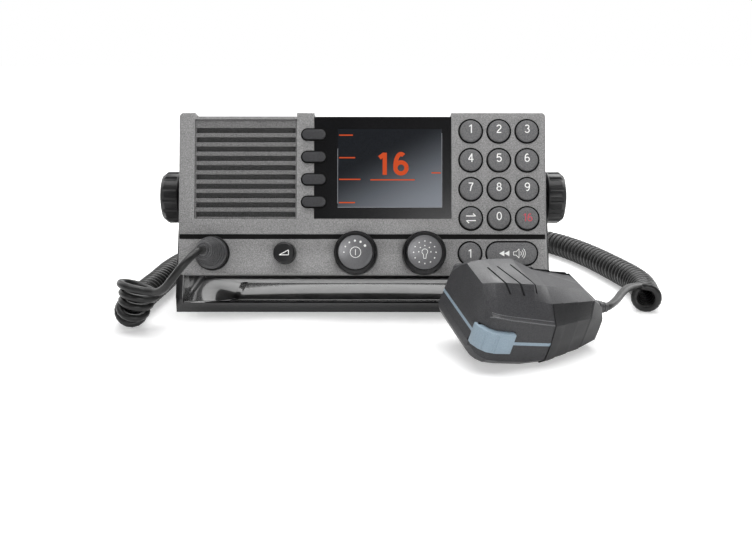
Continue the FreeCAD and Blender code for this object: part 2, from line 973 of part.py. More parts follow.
def mic_plug():
    """The rubber-booted plug on the cord: a stem in the socket and a bell that narrows to the cord."""
    piece = Piece("mic_plug", RADIO, (socket_x, 0, row_height))
    base = face - 1.4
    nose = base - s.plug_length
    tip = nose - s.plug_tip_length
    waist = s.plug_nose_radius
    rings = []
    for step in range(2):
        place = nose - (step + 0.4) * s.plug_tip_length / 3
        rings += [(place, waist - 0.6 - 0.7 * step), (place, waist - 1.2 - 0.7 * step)]
    piece.turn(
        "y",
        (board_front - 4.5, 0),
        (board_front - 4.5, plug_stem),
        (base, plug_stem),
        (base, s.plug_radius),
        (base - 7.0, s.plug_radius),
        (base - 8.0, s.plug_radius - 0.9),
        (base - 15.0, s.plug_radius - 2.6),
        (base - 22.0, waist + 1.0),
        (nose, waist),
        *rings,
        (tip, s.cord_diameter / 2 + 0.5),
        (tip, 0),
    )


# The radio's rear.

flange_front = panel_back + s.gasket_thickness
flange_back = flange_front + s.flange_thickness
housing_rear = s.housing_reach
housing_middle = -s.panel_drop
housing_top = housing_middle + s.housing_height / 2
housing_bottom = housing_middle - s.housing_height / 2
socket_row = housing_top - s.socket_drop


def panel_gasket():
    """The seal between the front's rim and the housing's flange."""
    piece = Piece("panel_gasket", RADIO)
    piece.add("y", panel_back, flange_front, outline(s.flange_inset), outline(s.panel_side_wall))


def rear_housing():
    """The cast housing: a flanged box, open at the front, with cooling fins and two tilt bosses."""
    piece = Piece("rear_housing", RADIO)
    half = housing_width / 2
    wall = s.housing_wall
    piece.add("y", flange_front, housing_rear, rectangle(-half, housing_bottom, half, housing_top))

    def long_corner(edge):
        return upright(edge, piece.body.Placement.Rotation.multVec(Vector(0, 1, 0)))

    piece.round_edges(s.housing_corner, long_corner)
    piece.add("y", flange_front, flange_back, outline(s.flange_inset))
    # the tilt bosses, outside and inside the side walls
    for side in (-1, 1):
        outer = side * boss_reach
        root = side * (half - wall)
        inner = side * (boss_reach - s.boss_depth)
        piece.add("x", root, outer, circle(0, 0, s.boss_radius))
        piece.boss_sketch = piece.sketches[-1]
    piece.cut(
        "y",
        flange_front,
        housing_rear - wall,
        rectangle(-half + wall, housing_bottom + wall, half - wall, housing_top - wall),
    )
    for side in (-1, 1):
        root = side * (half - wall)
        inner = side * (boss_reach - s.boss_depth)
        piece.add("x", root, inner, circle(0, 0, s.stud_radius + 4))
        bore = s.stud_radius + s.running_gap
        piece.cut("x", side * boss_reach, inner + side * 1.5, circle(0, 0, bore))
    # the cooling fins
    first = -(s.fin_count - 1) / 2 * s.fin_pitch
    fin = piece.add(
        "y",
        housing_rear,
        housing_rear + s.fin_height,
        rectangle(
            first - s.fin_thickness / 2,
            housing_bottom + s.fin_margin,
            first + s.fin_thickness / 2,
            socket_row - s.socket_clearance,
        ),
    )
    piece.repeat_along(fin, piece.sketches[-1], "H_Axis", s.fin_pitch, s.fin_count)
    # openings for the rear sockets and the screws
    piece.cut(
        "y",
        housing_rear + 1,
        housing_rear - wall - 1,
        circle(-s.antenna_place, socket_row, 6.2),
        rectangle(s.inlet_place - 14, socket_row - 5, s.inlet_place + 14, socket_row + 5),
    )
    piece.cut(
        "y",
        flange_back,
        flange_front,
        *[
            circle(side * screw_x, z, screw_radius + 0.2)
            for side in (-1, 1)
            for z in (screw_upper, screw_lower)
        ],
    )
    # rails that carry the main board
    rail = 2.0
    piece.add(
        "y",
        housing_rear - wall,
        s.main_board_place + s.board_thickness,
        *[
            circle(side * (half - s.rail_inset), z, rail + 1)
            for side in (-1, 1)
            for z in (housing_bottom + s.rail_rise, housing_top - s.rail_rise)
        ],
    )


def main_board():
    """The transceiver board across the housing, on four posts."""
    piece = Piece("main_board", RADIO)
    half = housing_width / 2 - s.housing_wall - 9
    piece.add(
        "y",
        s.main_board_place,
        s.main_board_place + s.board_thickness,
        rectangle(
            -half,
            housing_bottom + s.housing_wall + 3,
            half,
            housing_top - s.housing_wall - 3,
        ),
    )
    # the screened radio section on its rear face
    piece.add(
        "y",
        s.main_board_place + s.board_thickness,
        s.main_board_place + s.board_thickness + s.shield_depth,
        rectangle(
            -s.shield_width / 2 - 5,
            -s.shield_height / 2 - 8,
            s.shield_width / 2 - 5,
            s.shield_height / 2 - 8,
        ),
    )


def rear_sockets():
    """The aerial's coaxial socket and the power and data inlet."""
    low = socket_row
    antenna = Piece("antenna_socket", RADIO, (-s.antenna_place, 0, low))
    antenna.turn(
        "y",
        (housing_rear - s.housing_wall - 4, 0),
        (housing_rear - s.housing_wall - 4, 6.1),
        (housing_rear, 6.1),
        (housing_rear, 10),
        (housing_rear + 2.4, 10),
        (housing_rear + 2.4, 7.8),
        (housing_rear + 16, 7.8),
        (housing_rear + 16, 5.2),
        (housing_rear + 5, 5.2),
        (housing_rear + 5, 1.6),
        (housing_rear + 12, 1.6),
        (housing_rear + 12, 0),
    )
    inlet = Piece("power_inlet", RADIO)
    x = s.inlet_place
    inlet.add(
        "y",
        housing_rear - s.housing_wall - 3,
        housing_rear,
        rectangle(x - 13.8, low - 4.8, x + 13.8, low + 4.8),
    )
    inlet.add(
        "y",
        housing_rear,
        housing_rear + 2,
        rectangle(x - 19, low - 7, x + 19, low + 7),
    )
    inlet.add(
        "y",
        housing_rear + 2,
        housing_rear + 9,
        rectangle(x - 13, low - 4.6, x + 13, low + 4.6),
    )
    inlet.cut(
        "y",
        housing_rear + 9,
        housing_rear + 6,
        rectangle(x - 11.6, low - 3.4, x + 11.6, low + 3.4),
    )


def housing_screws():
    screws = []
    tip = inner_face + 1.2
    length = flange_back - tip
    for i, (side, z) in enumerate([(a, b) for a in (-1, 1) for b in (screw_upper, screw_lower)]):
        shank = rod(f"screw_shank_{i}", "y", side * screw_x, tip, z, screw_radius, length)
        head = rod(f"screw_head_{i}", "y", side * screw_x, flange_back, z, 3.0, 2.2)
        screws.append(fuse(f"screw_{i}", shank, head))
    group("housing_screws", RADIO, screws)


def tilt_washers():
    """A rubber washer on each side, between the housing's boss and the bracket's arm."""
    washers = []
    for side, word in ((-1, "left"), (1, "right")):
        start = boss_reach if side > 0 else -boss_reach - s.washer_thickness
        disc = rod(f"washer_disc_{word}", "x", start, 0, 0, s.boss_radius, s.washer_thickness)
        hole = rod(f"washer_hole_{word}", "x", start - 1, 0, 0, s.stud_radius + 1, s.washer_thickness + 2)
        washer = doc.addObject("Part::Cut", f"washer_{word}")
        washer.Base = disc
        washer.Tool = hole
        washers.append(washer)
    group("tilt_washers", RADIO, washers)


def clamp_knobs():
    """The fluted knobs that clamp the tilt, each with a threaded stud that reaches into the housing."""
    near = arm_spacing / 2 + s.arm_thickness + s.clamp_gap
    end = near + s.clamp_length
    rim = s.clamp_radius
    for side, word in ((-1, "left"), (1, "right")):
        knob = Piece(f"clamp_knob_{word}", RADIO)
        bore_end = end - 5.0
        knob.turn(
            "x",
            (side * near, s.stud_radius),
            (side * near, rim - 1.2),
            (side * (near + 1.0), rim),
            (side * (end - 4.6), rim),
            (side * (end - 1.4), rim - 2.4),
            (side * end, rim - 8.0),
            (side * end, 0),
            (side * bore_end, 0),
            (side * bore_end, s.stud_radius),
        )
        flute = knob.cut("x", side * (near + 1.8), side * (end + 1), circle(0, rim + 1.3, 2.5))
        knob.repeat_round(flute, knob.sketches[-1], s.flute_count)
        stud = Piece(f"clamp_stud_{word}", RADIO)
        stud.add("x", side * bore_end, side * (bore_end - s.stud_length), circle(0, 0, s.stud_radius))


# The bracket.


def mounting_bracket():
    """The U-shaped bracket: a lipped base with four screw holes and two rimmed arms."""
    piece = Piece("mounting_bracket", TABLE)
    inside = arm_spacing / 2
    outside = inside + s.arm_thickness
    front, rear = -s.base_depth / 2, s.base_depth / 2
    eye = s.arm_eye_radius
    rim = s.arm_rim
    shoulder = s.shoulder_height
    piece.add("z", 0, s.base_thickness, rectangle(-outside, front, outside, rear))
    for side in (-1, 1):
        piece.add(
            "x",
            side * inside,
            side * outside,
            polygon(
                (front, 0),
                (rear, 0),
                (rear, shoulder),
                (eye, s.pivot_height),
                (-eye, s.pivot_height),
                (front, shoulder),
            ),
        )
        piece.add("x", side * inside, side * outside, circle(0, s.pivot_height, eye))
    # raised lips along the front and the rear of the base
    for start, way in ((front, 1), (rear, -1)):
        piece.add(
            "z",
            0,
            s.base_lip,
            rectangle(
                -inside - 1,
                start if way > 0 else start - rim,
                inside + 1,
                start + rim if way > 0 else start,
            ),
        )
    lean = (rear - eye) / (s.pivot_height - shoulder)
    web_top = s.pivot_height - eye - 3
    narrow = eye + (s.pivot_height - web_top) * lean - rim
    for side in (-1, 1):
        piece.cut(
            "x",
            side * inside,
            side * (outside - s.arm_web),
            polygon(
                (front + rim, s.base_lip),
                (rear - rim, s.base_lip),
                (rear - rim, shoulder),
                (narrow, web_top),
                (-narrow, web_top),
                (front + rim, shoulder),
            ),
        )
        # a gusset in each rear corner
        size = s.gusset_size
        piece.add(
            "y",
            rear - rim,
            rear,
            polygon(
                (side * (inside + 1), s.base_thickness),
                (side * (inside - size), s.base_thickness),
                (side * (inside + 1), s.base_lip + size),
            ),
        )
    pivot_hole = s.stud_radius + s.clear_gap
    piece.cut("x", outside + 1, -outside - 1, circle(0, s.pivot_height, pivot_hole))
    holes = [
        circle(a * s.mount_spacing_x / 2, b * s.mount_spacing_y / 2, s.mount_hole_radius)
        for a in (-1, 1)
        for b in (-1, 1)
    ]
    piece.cut("z", s.base_thickness + 1, -1, *holes)


# The hand microphone, lying along +X.

seam_low = s.mic_seam - s.seam_thickness / 2
seam_high = s.mic_seam + s.seam_thickness / 2
neck_end = s.mic_length - s.nose_length
hang_stem = Size(3.0)
boot_end = s.mic_length + s.boot_length
boot_seat = Size(6.0)
boot_height = s.mic_seam + 7.3
edge_rise = Size(4.5)
talk_key_z0 = s.mic_seam + 0.6 - s.talk_key_height / 2
talk_key_z1 = s.mic_seam + 0.6 + s.talk_key_height / 2


def case_rows():
    """The case's sections, each a place along it and then, across it, (half width, height) pairs.

    The pairs climb from the bottom's lift through the seam, the ledge, the band above the ledge
    and the shoulder to the crown.
    """
    half, neck, end = s.mic_half, s.mic_neck_half, s.mic_end_half
    seam, ledge, top, low = s.mic_seam, s.mic_ledge, s.mic_height, s.mic_neck_height

    def row(place, lift, side, *climb):
        return Size.of(place), Size.of(lift), side, climb

    return [
        row(0, 1.6, half - 9, (half - 9.2, seam + 3), (half - 10.5, seam + 3.2), (half - 17, seam + 3.5), (half - 23, seam + 3.7)),
        row(2.2, -0.4, half - 5.6, (half - 7, ledge - 3.6), (half - 9, ledge - 1), (half - 15.5, ledge + 6), (half - 21.2, top - 3.4)),
        row(4.5, -1.1, half - 2.9, (half - 4.3, ledge - 0.2), (half - 6.6, ledge + 0.7), (half - 13.2, ledge + 6.4), (half - 20.4, top - 2.6)),
        row(8, -1.6, half - 0.9, (half - 2.5, ledge), (half - 4.6, ledge + 0.9), (half - 11.7, ledge + 6.6), (half - 19.8, top - 1.7)),
        row(15, -1.8, half, (half - 1.5, ledge - 0.5), (half - 3.6, ledge + 0.5), (half - 11.2, ledge + 6.8), (half - 18.8, top - 0.8)),
        row(32, -1.8, half, (half - 1.5, ledge - 1.9), (half - 3.6, ledge - 0.7), (half - 11.2, ledge + 7), (half - 17.4, top)),
        row(s.neck_start, 0, half, (half - 1.5, ledge - 2.9), (half - 3.4, ledge - 1.6), (half - 11.4, low + 0.4), (half - 22.7, top - 3.3)),
        row(neck_end, 1, neck + 1.5, (neck + 1.1, ledge - 4.2), (neck + 0.9, ledge - 3), (neck - 1.8, low + 0.4), (neck - 14, low + 1.2)),
        row(s.mic_length, 3, end, (end - 0.4, ledge - 9.2), (end - 0.8, ledge - 8.2), (end - 5, low - 8.2), (end - 8.5, low - 7.2)),
    ]


def inner_rows():
    """The sections that the case is hollowed through, from the head to the end of the neck."""
    return case_rows()[3:8]


def ring(points):
    """An outline across the microphone, from (half width, height) points down its +Y side."""
    return [(-half, height) for half, height in points] + list(reversed(points))


def back_shell():
    """The rear half of the case: flat back, rounded-over edge, up to the seam."""
    piece = Piece("handset_back_shell", MIC)

    def section(side, floor, rise):
        return ring([(side, seam_low), (side, floor + rise), (side - rise, floor)])

    brow = (Size(-1.6), ring([(s.mic_half - 10.5, Size(8.8)), (s.mic_half - 10.5, Size(6.5)), (s.mic_half - 12, Size(4.6))]))
    piece.loft([brow] + [(x, section(side, lift, edge_rise)) for x, lift, side, climb in case_rows()])
    wall = s.mic_wall
    inner = [(x, section(side - wall, wall + lift, edge_rise - 1)) for x, lift, side, climb in inner_rows()]
    piece.loft(inner, cutting=True)
    cut_talk_key(piece)
    piece.cut("z", -3, wall + 1, circle(s.hang_stud_place, 0, hang_stem + s.running_gap))


def front_shell():
    """The front half of the case: low walls, a ledge, sloping sides and an arched crown with three slots."""
    piece = Piece("handset_front_shell", MIC)
    piece.loft([(x, ring([(side, seam_high), *climb])) for x, lift, side, climb in case_rows()])
    wall = s.mic_wall
    inner = []
    for x, lift, side, climb in inner_rows():
        walls = [(half - wall, height - wall) for half, height in climb[:3]]
        crown, top = climb[3]
        inner.append((x, ring([(side - wall, seam_high), *walls, (crown - 0.6, top - wall)])))
    piece.loft(inner, cutting=True)
    for head, bend, foot in SLOTS:
        piece.cut(
            "z",
            s.mic_height + 1,
            s.mic_height - 9.5,
            polygon(
                head,
                (head[0] + s.slot_width, head[1]),
                (bend[0] + s.slot_width, bend[1]),
                (foot[0] + s.slot_width, foot[1]),
                foot,
                bend,
            ),
        )
    cut_talk_key(piece)
    # the hole at the narrow end that holds the cord's strain relief
    hole = circle(0, boot_height, s.boot_radius + s.running_gap)
    piece.cut("x", s.mic_length + 1, s.mic_length - boot_seat - 0.5, hole)


# Each slot's two ends and the bend where it passes the crown's edge.
SLOTS = [
    ((10.9, 4.0), (14.0, -12.8), (16.2, -18.6)),
    ((17.5, 4.9), (22.8, -12.9), (24.8, -19.2)),
    ((27.0, 7.4), (31.9, -12.4), (33.3, -17.7)),
]


def cut_talk_key(piece):
    """The pocket that the talk key slides in, which crosses the seam."""
    gap = s.clear_gap
    give = s.talk_key_travel + gap
    half = s.mic_half
    reach = s.talk_key_reach
    piece.cut(
        "z",
        talk_key_z0 - gap,
        talk_key_z1 + gap,
        polygon(
            (-4, -half - 8),
            (reach + gap, -half - 8),
            (reach + gap, -half + 4 + give),
            (8 + gap, -half + 4 + give),
            (4.5 + gap, -half + 8 + give),
            (-0.05, -half + 8 + give),
            (-0.05, -half + 10.2 + give),
            (-4, -half + 10.2 + give),
        ),
    )


def handset_seam():
    """The coloured gasket that shows as a line between the two halves of the case."""
    piece = Piece("handset_seam", MIC)

    def loop(rows, wall):
        sides = [(x, side - wall) for x, lift, side, climb in rows]
        return [(x, -side) for x, side in sides] + [(x, side) for x, side in reversed(sides)]

    outer = loop(case_rows(), 0)
    piece.add("z", seam_low, seam_high, polygon(*outer), polygon(*loop(inner_rows(), s.mic_wall)))
    cut_talk_key(piece)


def talk_key():
    """The press-to-talk key, a curved bar round the corner of the case that laps over its head."""
    piece = Piece("talk_key", MIC)
    half = s.mic_half
    out = -half - s.talk_key_proud
    piece.add(
        "z",
        talk_key_z0,
        talk_key_z1,
        polygon(
            (-1.8, -half + 10.2),
            (-1.8, -half + 7.2),
            (0.5, -half + 2.7),
            (4, -half - 0.8),
            (9, out),
            (s.talk_key_reach, out),
            (s.talk_key_reach, -half + 4),
            (8, -half + 4),
            (4.5, -half + 8),
            (-0.15, -half + 8),
            (-0.15, -half + 10.2),
        ),
    )


def handset_grip():
    """The ribbed rubber sleeve round the neck of the case, open along the crown."""
    piece = Piece("handset_grip", MIC)
    rows = case_rows()
    first, second, last = rows[6], rows[7], rows[8]

    def between(a, b, share):
        return a + (b - a) * share

    def section(x, side_skin, floor_skin):
        near, far = (first, second) if x.number <= second[0].number else (second, last)
        share = (x - near[0]) / (far[0] - near[0])
        side = between(near[2], far[2], share)
        lift = between(near[1], far[1], share)
        climb = [
            (between(a[0], b[0], share), between(a[1], b[1], share))
            for a, b in zip(near[3][:3], far[3][:3])
        ]
        (ledge_half, ledge), (band_half, band), (shoulder_half, shoulder) = climb
        return ring(
            [
                (shoulder_half + side_skin * 0.65, shoulder + side_skin * 0.76),
                (band_half + side_skin * 0.8, band + side_skin * 0.6),
                (ledge_half + side_skin, ledge + side_skin * 0.35),
                (side + side_skin, s.mic_seam),
                (side + side_skin, lift + edge_rise),
                (side - edge_rise + side_skin, lift - floor_skin),
            ]
        )

    start, stop = s.neck_start + 0.3, s.mic_length - 0.6
    floor = s.grip_floor
    places = [(start, s.grip_step, floor)]
    for i in range(3):
        ridge = start + s.grip_first + s.grip_pitch * i
        places += [(ridge, s.grip_thickness, floor), (ridge + 0.7, s.grip_step, floor)]
    places += [(neck_end, s.grip_step + 0.4, floor), (stop, s.grip_step + 0.2, floor)]
    piece.loft([(x, section(x, skin, down)) for x, skin, down in places])
    gap = s.clear_gap / 2
    hollows = (start - 0.2, neck_end, stop + 0.2)
    piece.loft([(x, lidless(section(x, gap, gap))) for x in hollows], cutting=True)


def lidless(points):
    """A section whose top is raised, so that the cut leaves it open."""
    (left, low), (right, high) = points[0], points[-1]
    return [(left + 0.5, low + 3), *points, (right - 0.5, high + 3)]


def handset_insides():
    """The earpiece in the front half, and the stud on the back that hangs the microphone up."""
    speaker = Piece("handset_speaker", MIC, (24, 0, 0))
    under = s.mic_height - s.mic_wall - 1.15
    speaker.turn("z", (under, 0), (under, 11), (under - 2, 11), (under - 7, 7), (under - 9, 7), (under - 9, 0))
    stud = Piece("hang_stud", MIC, (s.hang_stud_place, 0, 0))
    low = -s.hang_stud_height
    stud.turn(
        "z",
        (low, 0),
        (low, s.hang_stud_radius - 0.6),
        (low + 0.6, s.hang_stud_radius),
        (low + 2.2, s.hang_stud_radius),
        (low + 2.6, hang_stem),
        (s.mic_wall + 2.0, hang_stem),
        (s.mic_wall + 2.0, 0),
    )


def cord_boot():
    """The ribbed strain relief where the cord leaves the hand microphone."""
    piece = Piece("cord_boot", MIC, (0, 0, boot_height))
    root = s.mic_length
    core = s.boot_radius
    start = root - boot_seat
    points = [(start, 0), (start, core), (root, core)]
    ribs = 3
    pitch = (boot_end - root) / ribs
    for i in range(ribs):
        radius = core + 0.6 - 0.6 * i
        near = root + pitch * i
        points += [(near, radius), (near + pitch * 0.6, radius), (near + pitch * 0.6, radius - 0.5)]
    piece.turn("x", *points, (boot_end, core - 1.1), (boot_end, 0))


# The cord. Its points are chosen by hand, in millimetres on the table.

TAIL_FRONT = [
    (-99.7, -102.0, 54.9),
    (-103.0, -107.4, 52.1),
    (-107.8, -111.0, 46.9),
    (-113.3, -111.3, 39.8),
    (-120.2, -107.0, 31.8),
    (-127.8, -100.5, 26.4),
    (-136.0, -94.0, 26.0),
]
COIL = [
    (-138.5, -87.0, 30.0),
    (-142.0, -84.0, 19.5),
    (-146.5, -75.0, 11.5),
    (-150.0, -58.0, 9.8),
    (-150.0, -30.0, 9.8),
    (-147.5, 0.0, 9.8),
    (-146.5, 34.0, 9.8),
    (-140.0, 68.0, 9.8),
    (-119.0, 100.0, 9.8),
    (-84.0, 121.0, 9.8),
    (-42.0, 132.0, 9.8),
    (2.0, 139.0, 9.8),
    (48.0, 149.0, 9.8),
    (92.0, 164.0, 9.8),
    (128.0, 167.0, 9.8),
    (154.0, 149.0, 9.8),
    (172.0, 117.0, 9.8),
    (184.0, 79.0, 9.8),
    (191.5, 43.0, 9.8),
    (197.5, 12.0, 9.8),
    (198.5, -17.0, 9.8),
    (192.0, -44.0, 9.8),
]
TAIL_HANDSET = [
    (153.2, -101.6, 22.2),
    (158.4, -93.5, 22.6),
    (163.3, -83.5, 23.4),
    (168.9, -72.0, 23.4),
    (175.3, -60.0, 22.2),
    (183.0, -49.5, 20.2),
    (191.5, -43.0, 17.4),
]


def cord_route(name, points, diameter):
    """Straight runs joined by tangent arcs, each arc as large as its two runs allow."""
    corners = [Vector(*point) for point in points]
    edges = []
    start = corners[0]
    length = 0.0
    radii = []
    for before, corner, after in zip(corners, corners[1:], corners[2:]):
        into, out = corner - before, after - corner
        turn = into.getAngle(out)
        shorter = min(into.Length, out.Length)
        radius = 0.45 * shorter / math.tan(turn / 2)
        trim = 0.45 * shorter
        into.normalize()
        out.normalize()
        a = corner - into * trim
        b = corner + out * trim
        inward = (out - into).normalize()
        middle = corner + inward * (radius / math.cos(turn / 2) - radius)
        if (a - start).Length > 1e-6:
            edges.append(Part.LineSegment(start, a).toShape())
            length += (a - start).Length
        edges.append(Part.Arc(a, middle, b).toShape())
        length += radius * turn
        radii.append(round(radius, 1))
        start = b
    edges.append(Part.LineSegment(start, corners[-1]).toShape())
    length += (corners[-1] - start).Length
    wire = Part.Wire(edges)
    way = corners[1] - corners[0]
    circle_edge = Part.Circle(corners[0], way, diameter / 2).toShape()
    tube = wire.makePipeShell([Part.Wire([circle_edge])], True, True)
    expected = math.pi * diameter**2 / 4 * length
    print(name, "length", round(length, 1), "radii", radii, "volume ratio", round(tube.Volume / expected, 4))
    feature = doc.addObject("Part::Feature", name)
    feature.Label = name
    feature.Shape = tube
    NODES.append(feature)
    return length


def in_world(origin, yaw, pitch, roll, point):
    """A point of a group's frame, on the table."""
    spin = FreeCAD.Rotation(yaw.number, pitch.number, roll.number)
    return Vector(*[size.number for size in origin]) + spin.multVec(Vector(*[Size.of(p).number for p in point]))


def cords():
    plug_tip = face - 1.4 - s.plug_length - s.plug_tip_length
    pivot = (Size(0), Size(0), s.pivot_height)
    plug_exit = [
        in_world(pivot, Size(0), Size(0), -s.rest_tilt, (socket_x, plug_tip - reach, row_height))
        for reach in (0, 6)
    ]
    origin = (s.mic_x, s.mic_y, s.mic_lift)
    exit_mic = in_world(origin, s.mic_yaw, s.mic_pitch, s.mic_roll, (boot_end - 2, 0, boot_height))
    cord_route("cord_tail_front", plug_exit + TAIL_FRONT, s.cord_diameter.number)
    cord_route("cord_coil", COIL, s.coil_diameter.number)
    cord_route("cord_tail_handset", [exit_mic] + TAIL_HANDSET, s.cord_diameter.number)


def check_and_write():
    doc.recompute()
    for thing in doc.Objects:
        if "Invalid" in thing.State or "Error" in thing.State:
            raise ValueError(f"{thing.Name} failed: {thing.State}")
    os.makedirs("parts", exist_ok=True)
    for node in NODES:
        shape = node.Shape
        if shape.isNull() or not shape.isValid():
            raise ValueError(f"{node.Label} has no valid shape")
        if not shape.Solids:
            raise ValueError(f"{node.Label} has no solid")
        shape.exportStep(f"parts/{node.Label}.step")
    print(len(NODES), "nodes")


front_panel()
speaker_grille()
speaker_cloth()
speaker_driver()
display_window()
lcd_module()
control_board()
round_keys()
long_keys()
knob_and_shaft("volume", volume_x)
knob_and_shaft("select", select_x)
squelch_knob()
mic_socket()
mic_plug()
panel_gasket()
rear_housing()
main_board()
rear_sockets()
housing_screws()
tilt_washers()
clamp_knobs()
mounting_bracket()
back_shell()
front_shell()
handset_seam()
talk_key()
handset_grip()
handset_insides()
cord_boot()
cords()
check_and_write()
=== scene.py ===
"""A VHF marine radio on its tilting bracket, with a curly-cord hand microphone lying in front of it."""

import math

import bpy
import numpy as np
from mathutils import Matrix, Vector


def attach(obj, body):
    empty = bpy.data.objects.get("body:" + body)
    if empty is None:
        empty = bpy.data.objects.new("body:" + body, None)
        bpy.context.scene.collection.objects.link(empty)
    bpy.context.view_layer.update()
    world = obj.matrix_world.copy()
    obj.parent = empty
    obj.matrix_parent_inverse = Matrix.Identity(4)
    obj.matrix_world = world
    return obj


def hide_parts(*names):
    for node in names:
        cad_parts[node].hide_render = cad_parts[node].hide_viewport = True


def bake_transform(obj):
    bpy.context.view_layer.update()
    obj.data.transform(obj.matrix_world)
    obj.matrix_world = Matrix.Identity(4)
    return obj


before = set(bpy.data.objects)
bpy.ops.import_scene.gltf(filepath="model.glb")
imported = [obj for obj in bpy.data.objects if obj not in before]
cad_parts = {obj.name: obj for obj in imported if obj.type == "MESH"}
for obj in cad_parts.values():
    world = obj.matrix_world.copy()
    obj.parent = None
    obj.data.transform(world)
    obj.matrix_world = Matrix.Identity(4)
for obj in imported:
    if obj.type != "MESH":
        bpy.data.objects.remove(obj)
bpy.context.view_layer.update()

MM = 0.001
TURN = 2 * math.pi

# Where the radio and the hand microphone stand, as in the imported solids: millimetres and degrees.
PIVOT_HEIGHT = 72
LEAN = 16
MIC_PLACE = (53, -136.8, 15.6)
MIC_YAW, MIC_PITCH, MIC_ROLL = 21.4, 8.5, 17.4
TO_METRES = Matrix.Diagonal((MM, MM, MM, 1))


def turned(degrees, axis):
    """A turn about an axis, as a matrix."""
    return Matrix.Rotation(math.radians(degrees), 4, axis)


# The frames of the radio and of the hand microphone, which take places on them in millimetres.
RADIO = Matrix.Translation((0, 0, PIVOT_HEIGHT * MM)) @ turned(-LEAN, "X") @ TO_METRES
MIC = (
    Matrix.Translation([value * MM for value in MIC_PLACE])
    @ turned(MIC_YAW, "Z")
    @ turned(MIC_PITCH, "Y")
    @ turned(MIC_ROLL, "X")
    @ TO_METRES
)


def placed(matrix, points):
    """An array of points, taken through a 4 x 4 matrix."""
    m = np.array(matrix)
    return np.asarray(points, float) @ m[:3, :3].T + m[:3, 3]


# ---------------------------------------------------------------- nodes and materials


def add_node(tree, kind, inputs=None, **settings):
    """Adds one node. inputs gives an input's name or number a value, or the socket that feeds it."""
    made = tree.nodes.new(kind)
    for key, value in settings.items():
        setattr(made, key, value)
    for key, value in (inputs or {}).items():
        if isinstance(value, bpy.types.NodeSocket):
            tree.links.new(value, made.inputs[key])
        else:
            made.inputs[key].default_value = value
    return made


def linear(colour):
    """An sRGB hex colour as the linear RGBA that Blender's sockets take."""
    parts = [int(colour[i : i + 2], 16) / 255 for i in (1, 3, 5)]
    return [p / 12.92 if p <= 0.04045 else ((p + 0.055) / 1.055) ** 2.4 for p in parts] + [1.0]


def new_material(name):
    """An empty node material, and its tree."""
    material = bpy.data.materials.new(name)
    material.use_nodes = True
    material.node_tree.nodes.clear()
    return material, material.node_tree


def surface_output(tree, shader):
    """Makes a shader the material's surface."""
    add_node(tree, "ShaderNodeOutputMaterial", {"Surface": shader.outputs[0]})


NOISE_LOW, NOISE_HIGH = 0.3, 0.7  # between these lies nearly all of a noise's value


def grained(name, dark, light, grain, depth, roughness, patch=18.0, spread=0.06, **sockets):
    """A moulded or coated surface: a fine grain, of a size and a depth in millimetres, between a dark and a
    light colour, and broad soft patches that vary the gloss by spread to both sides. sockets are further
    inputs of the shader."""
    material, tree = new_material(name)
    place = add_node(tree, "ShaderNodeTexCoord").outputs["Object"]
    fine = add_node(tree, "ShaderNodeTexNoise", {"Vector": place, "Scale": 1 / (grain * MM), "Detail": 3.0})
    broad = add_node(tree, "ShaderNodeTexNoise", {"Vector": place, "Scale": 1 / (patch * MM), "Detail": 2.0})
    shade = add_node(
        tree,
        "ShaderNodeMapRange",
        {"Value": fine.outputs["Fac"], "From Min": NOISE_LOW, "From Max": NOISE_HIGH},
    )
    colour = add_node(
        tree,
        "ShaderNodeMix",
        {"Factor": shade.outputs[0], 6: linear(dark), 7: linear(light)},
        data_type="RGBA",
    )
    gloss = add_node(
        tree,
        "ShaderNodeMapRange",
        {
            "Value": broad.outputs["Fac"],
            "From Min": NOISE_LOW,
            "From Max": NOISE_HIGH,
            "To Min": roughness - spread,
            "To Max": roughness + spread,
        },
    )
    bump = add_node(
        tree,
        "ShaderNodeBump",
        {"Height": fine.outputs["Fac"], "Strength": 1.0, "Distance": depth * MM},
    )
    shader = add_node(
        tree,
        "ShaderNodeBsdfPrincipled",
        {
            "Base Color": colour.outputs[2],
            "Roughness": gloss.outputs[0],
            "Normal": bump.outputs[0],
            **sockets,
        },
    )
    surface_output(tree, shader)
    return material


DULL = {"Specular IOR Level": 0.3}  # the weak mirroring of a spark-eroded or rubbery skin

# Spark-eroded ABS: a grey shell with a dry, fine sparkle of grain.
PANEL_ABS = grained("spark_eroded_abs", "#6e6e6e", "#a5a4a4", 0.6, 0.08, 0.5, **DULL)
# The same ABS on the louvres, where the tool was polished.
LOUVRE_ABS = grained("louvre_abs", "#545454", "#868585", 0.6, 0.04, 0.44, **DULL)
# Silicone-topped key caps: darker and drier than the shell round them.
KEY_SILICONE = grained("key_silicone", "#525253", "#7b7b7c", 0.6, 0.04, 0.55, **DULL)
# The rubber caps of the keys beside the display, darker again.
SOFT_KEY_SILICONE = grained("soft_key_silicone", "#2e2e30", "#424244", 0.5, 0.03, 0.5, **DULL)
# Black nylon of the knobs and clamps, slightly glossy on its ridges.
KNOB_NYLON = grained("knob_nylon", "#0d0d0e", "#171718", 0.4, 0.02, 0.3, **{"Specular IOR Level": 0.17})
# The clamp knobs' nylon, left matt by its tool.
CLAMP_NYLON = grained("clamp_nylon", "#111112", "#1d1d1e", 0.5, 0.04, 0.36, **DULL)
# Powder coat under a clear glossy skin, which mirrors what lies level behind it.
POWDER_COAT = grained(
    "black_powder_coat",
    "#151517",
    "#202021",
    0.8,
    0.01,
    0.42,
    **{**DULL, "Coat Weight": 1.0, "Coat Roughness": 0.08},
)
# Die-cast housing under the same powder coat, a coarser peel.
CAST_COAT = grained("cast_housing_coat", "#1b1b1d", "#2b2b2c", 1.1, 0.07, 0.5, **DULL)
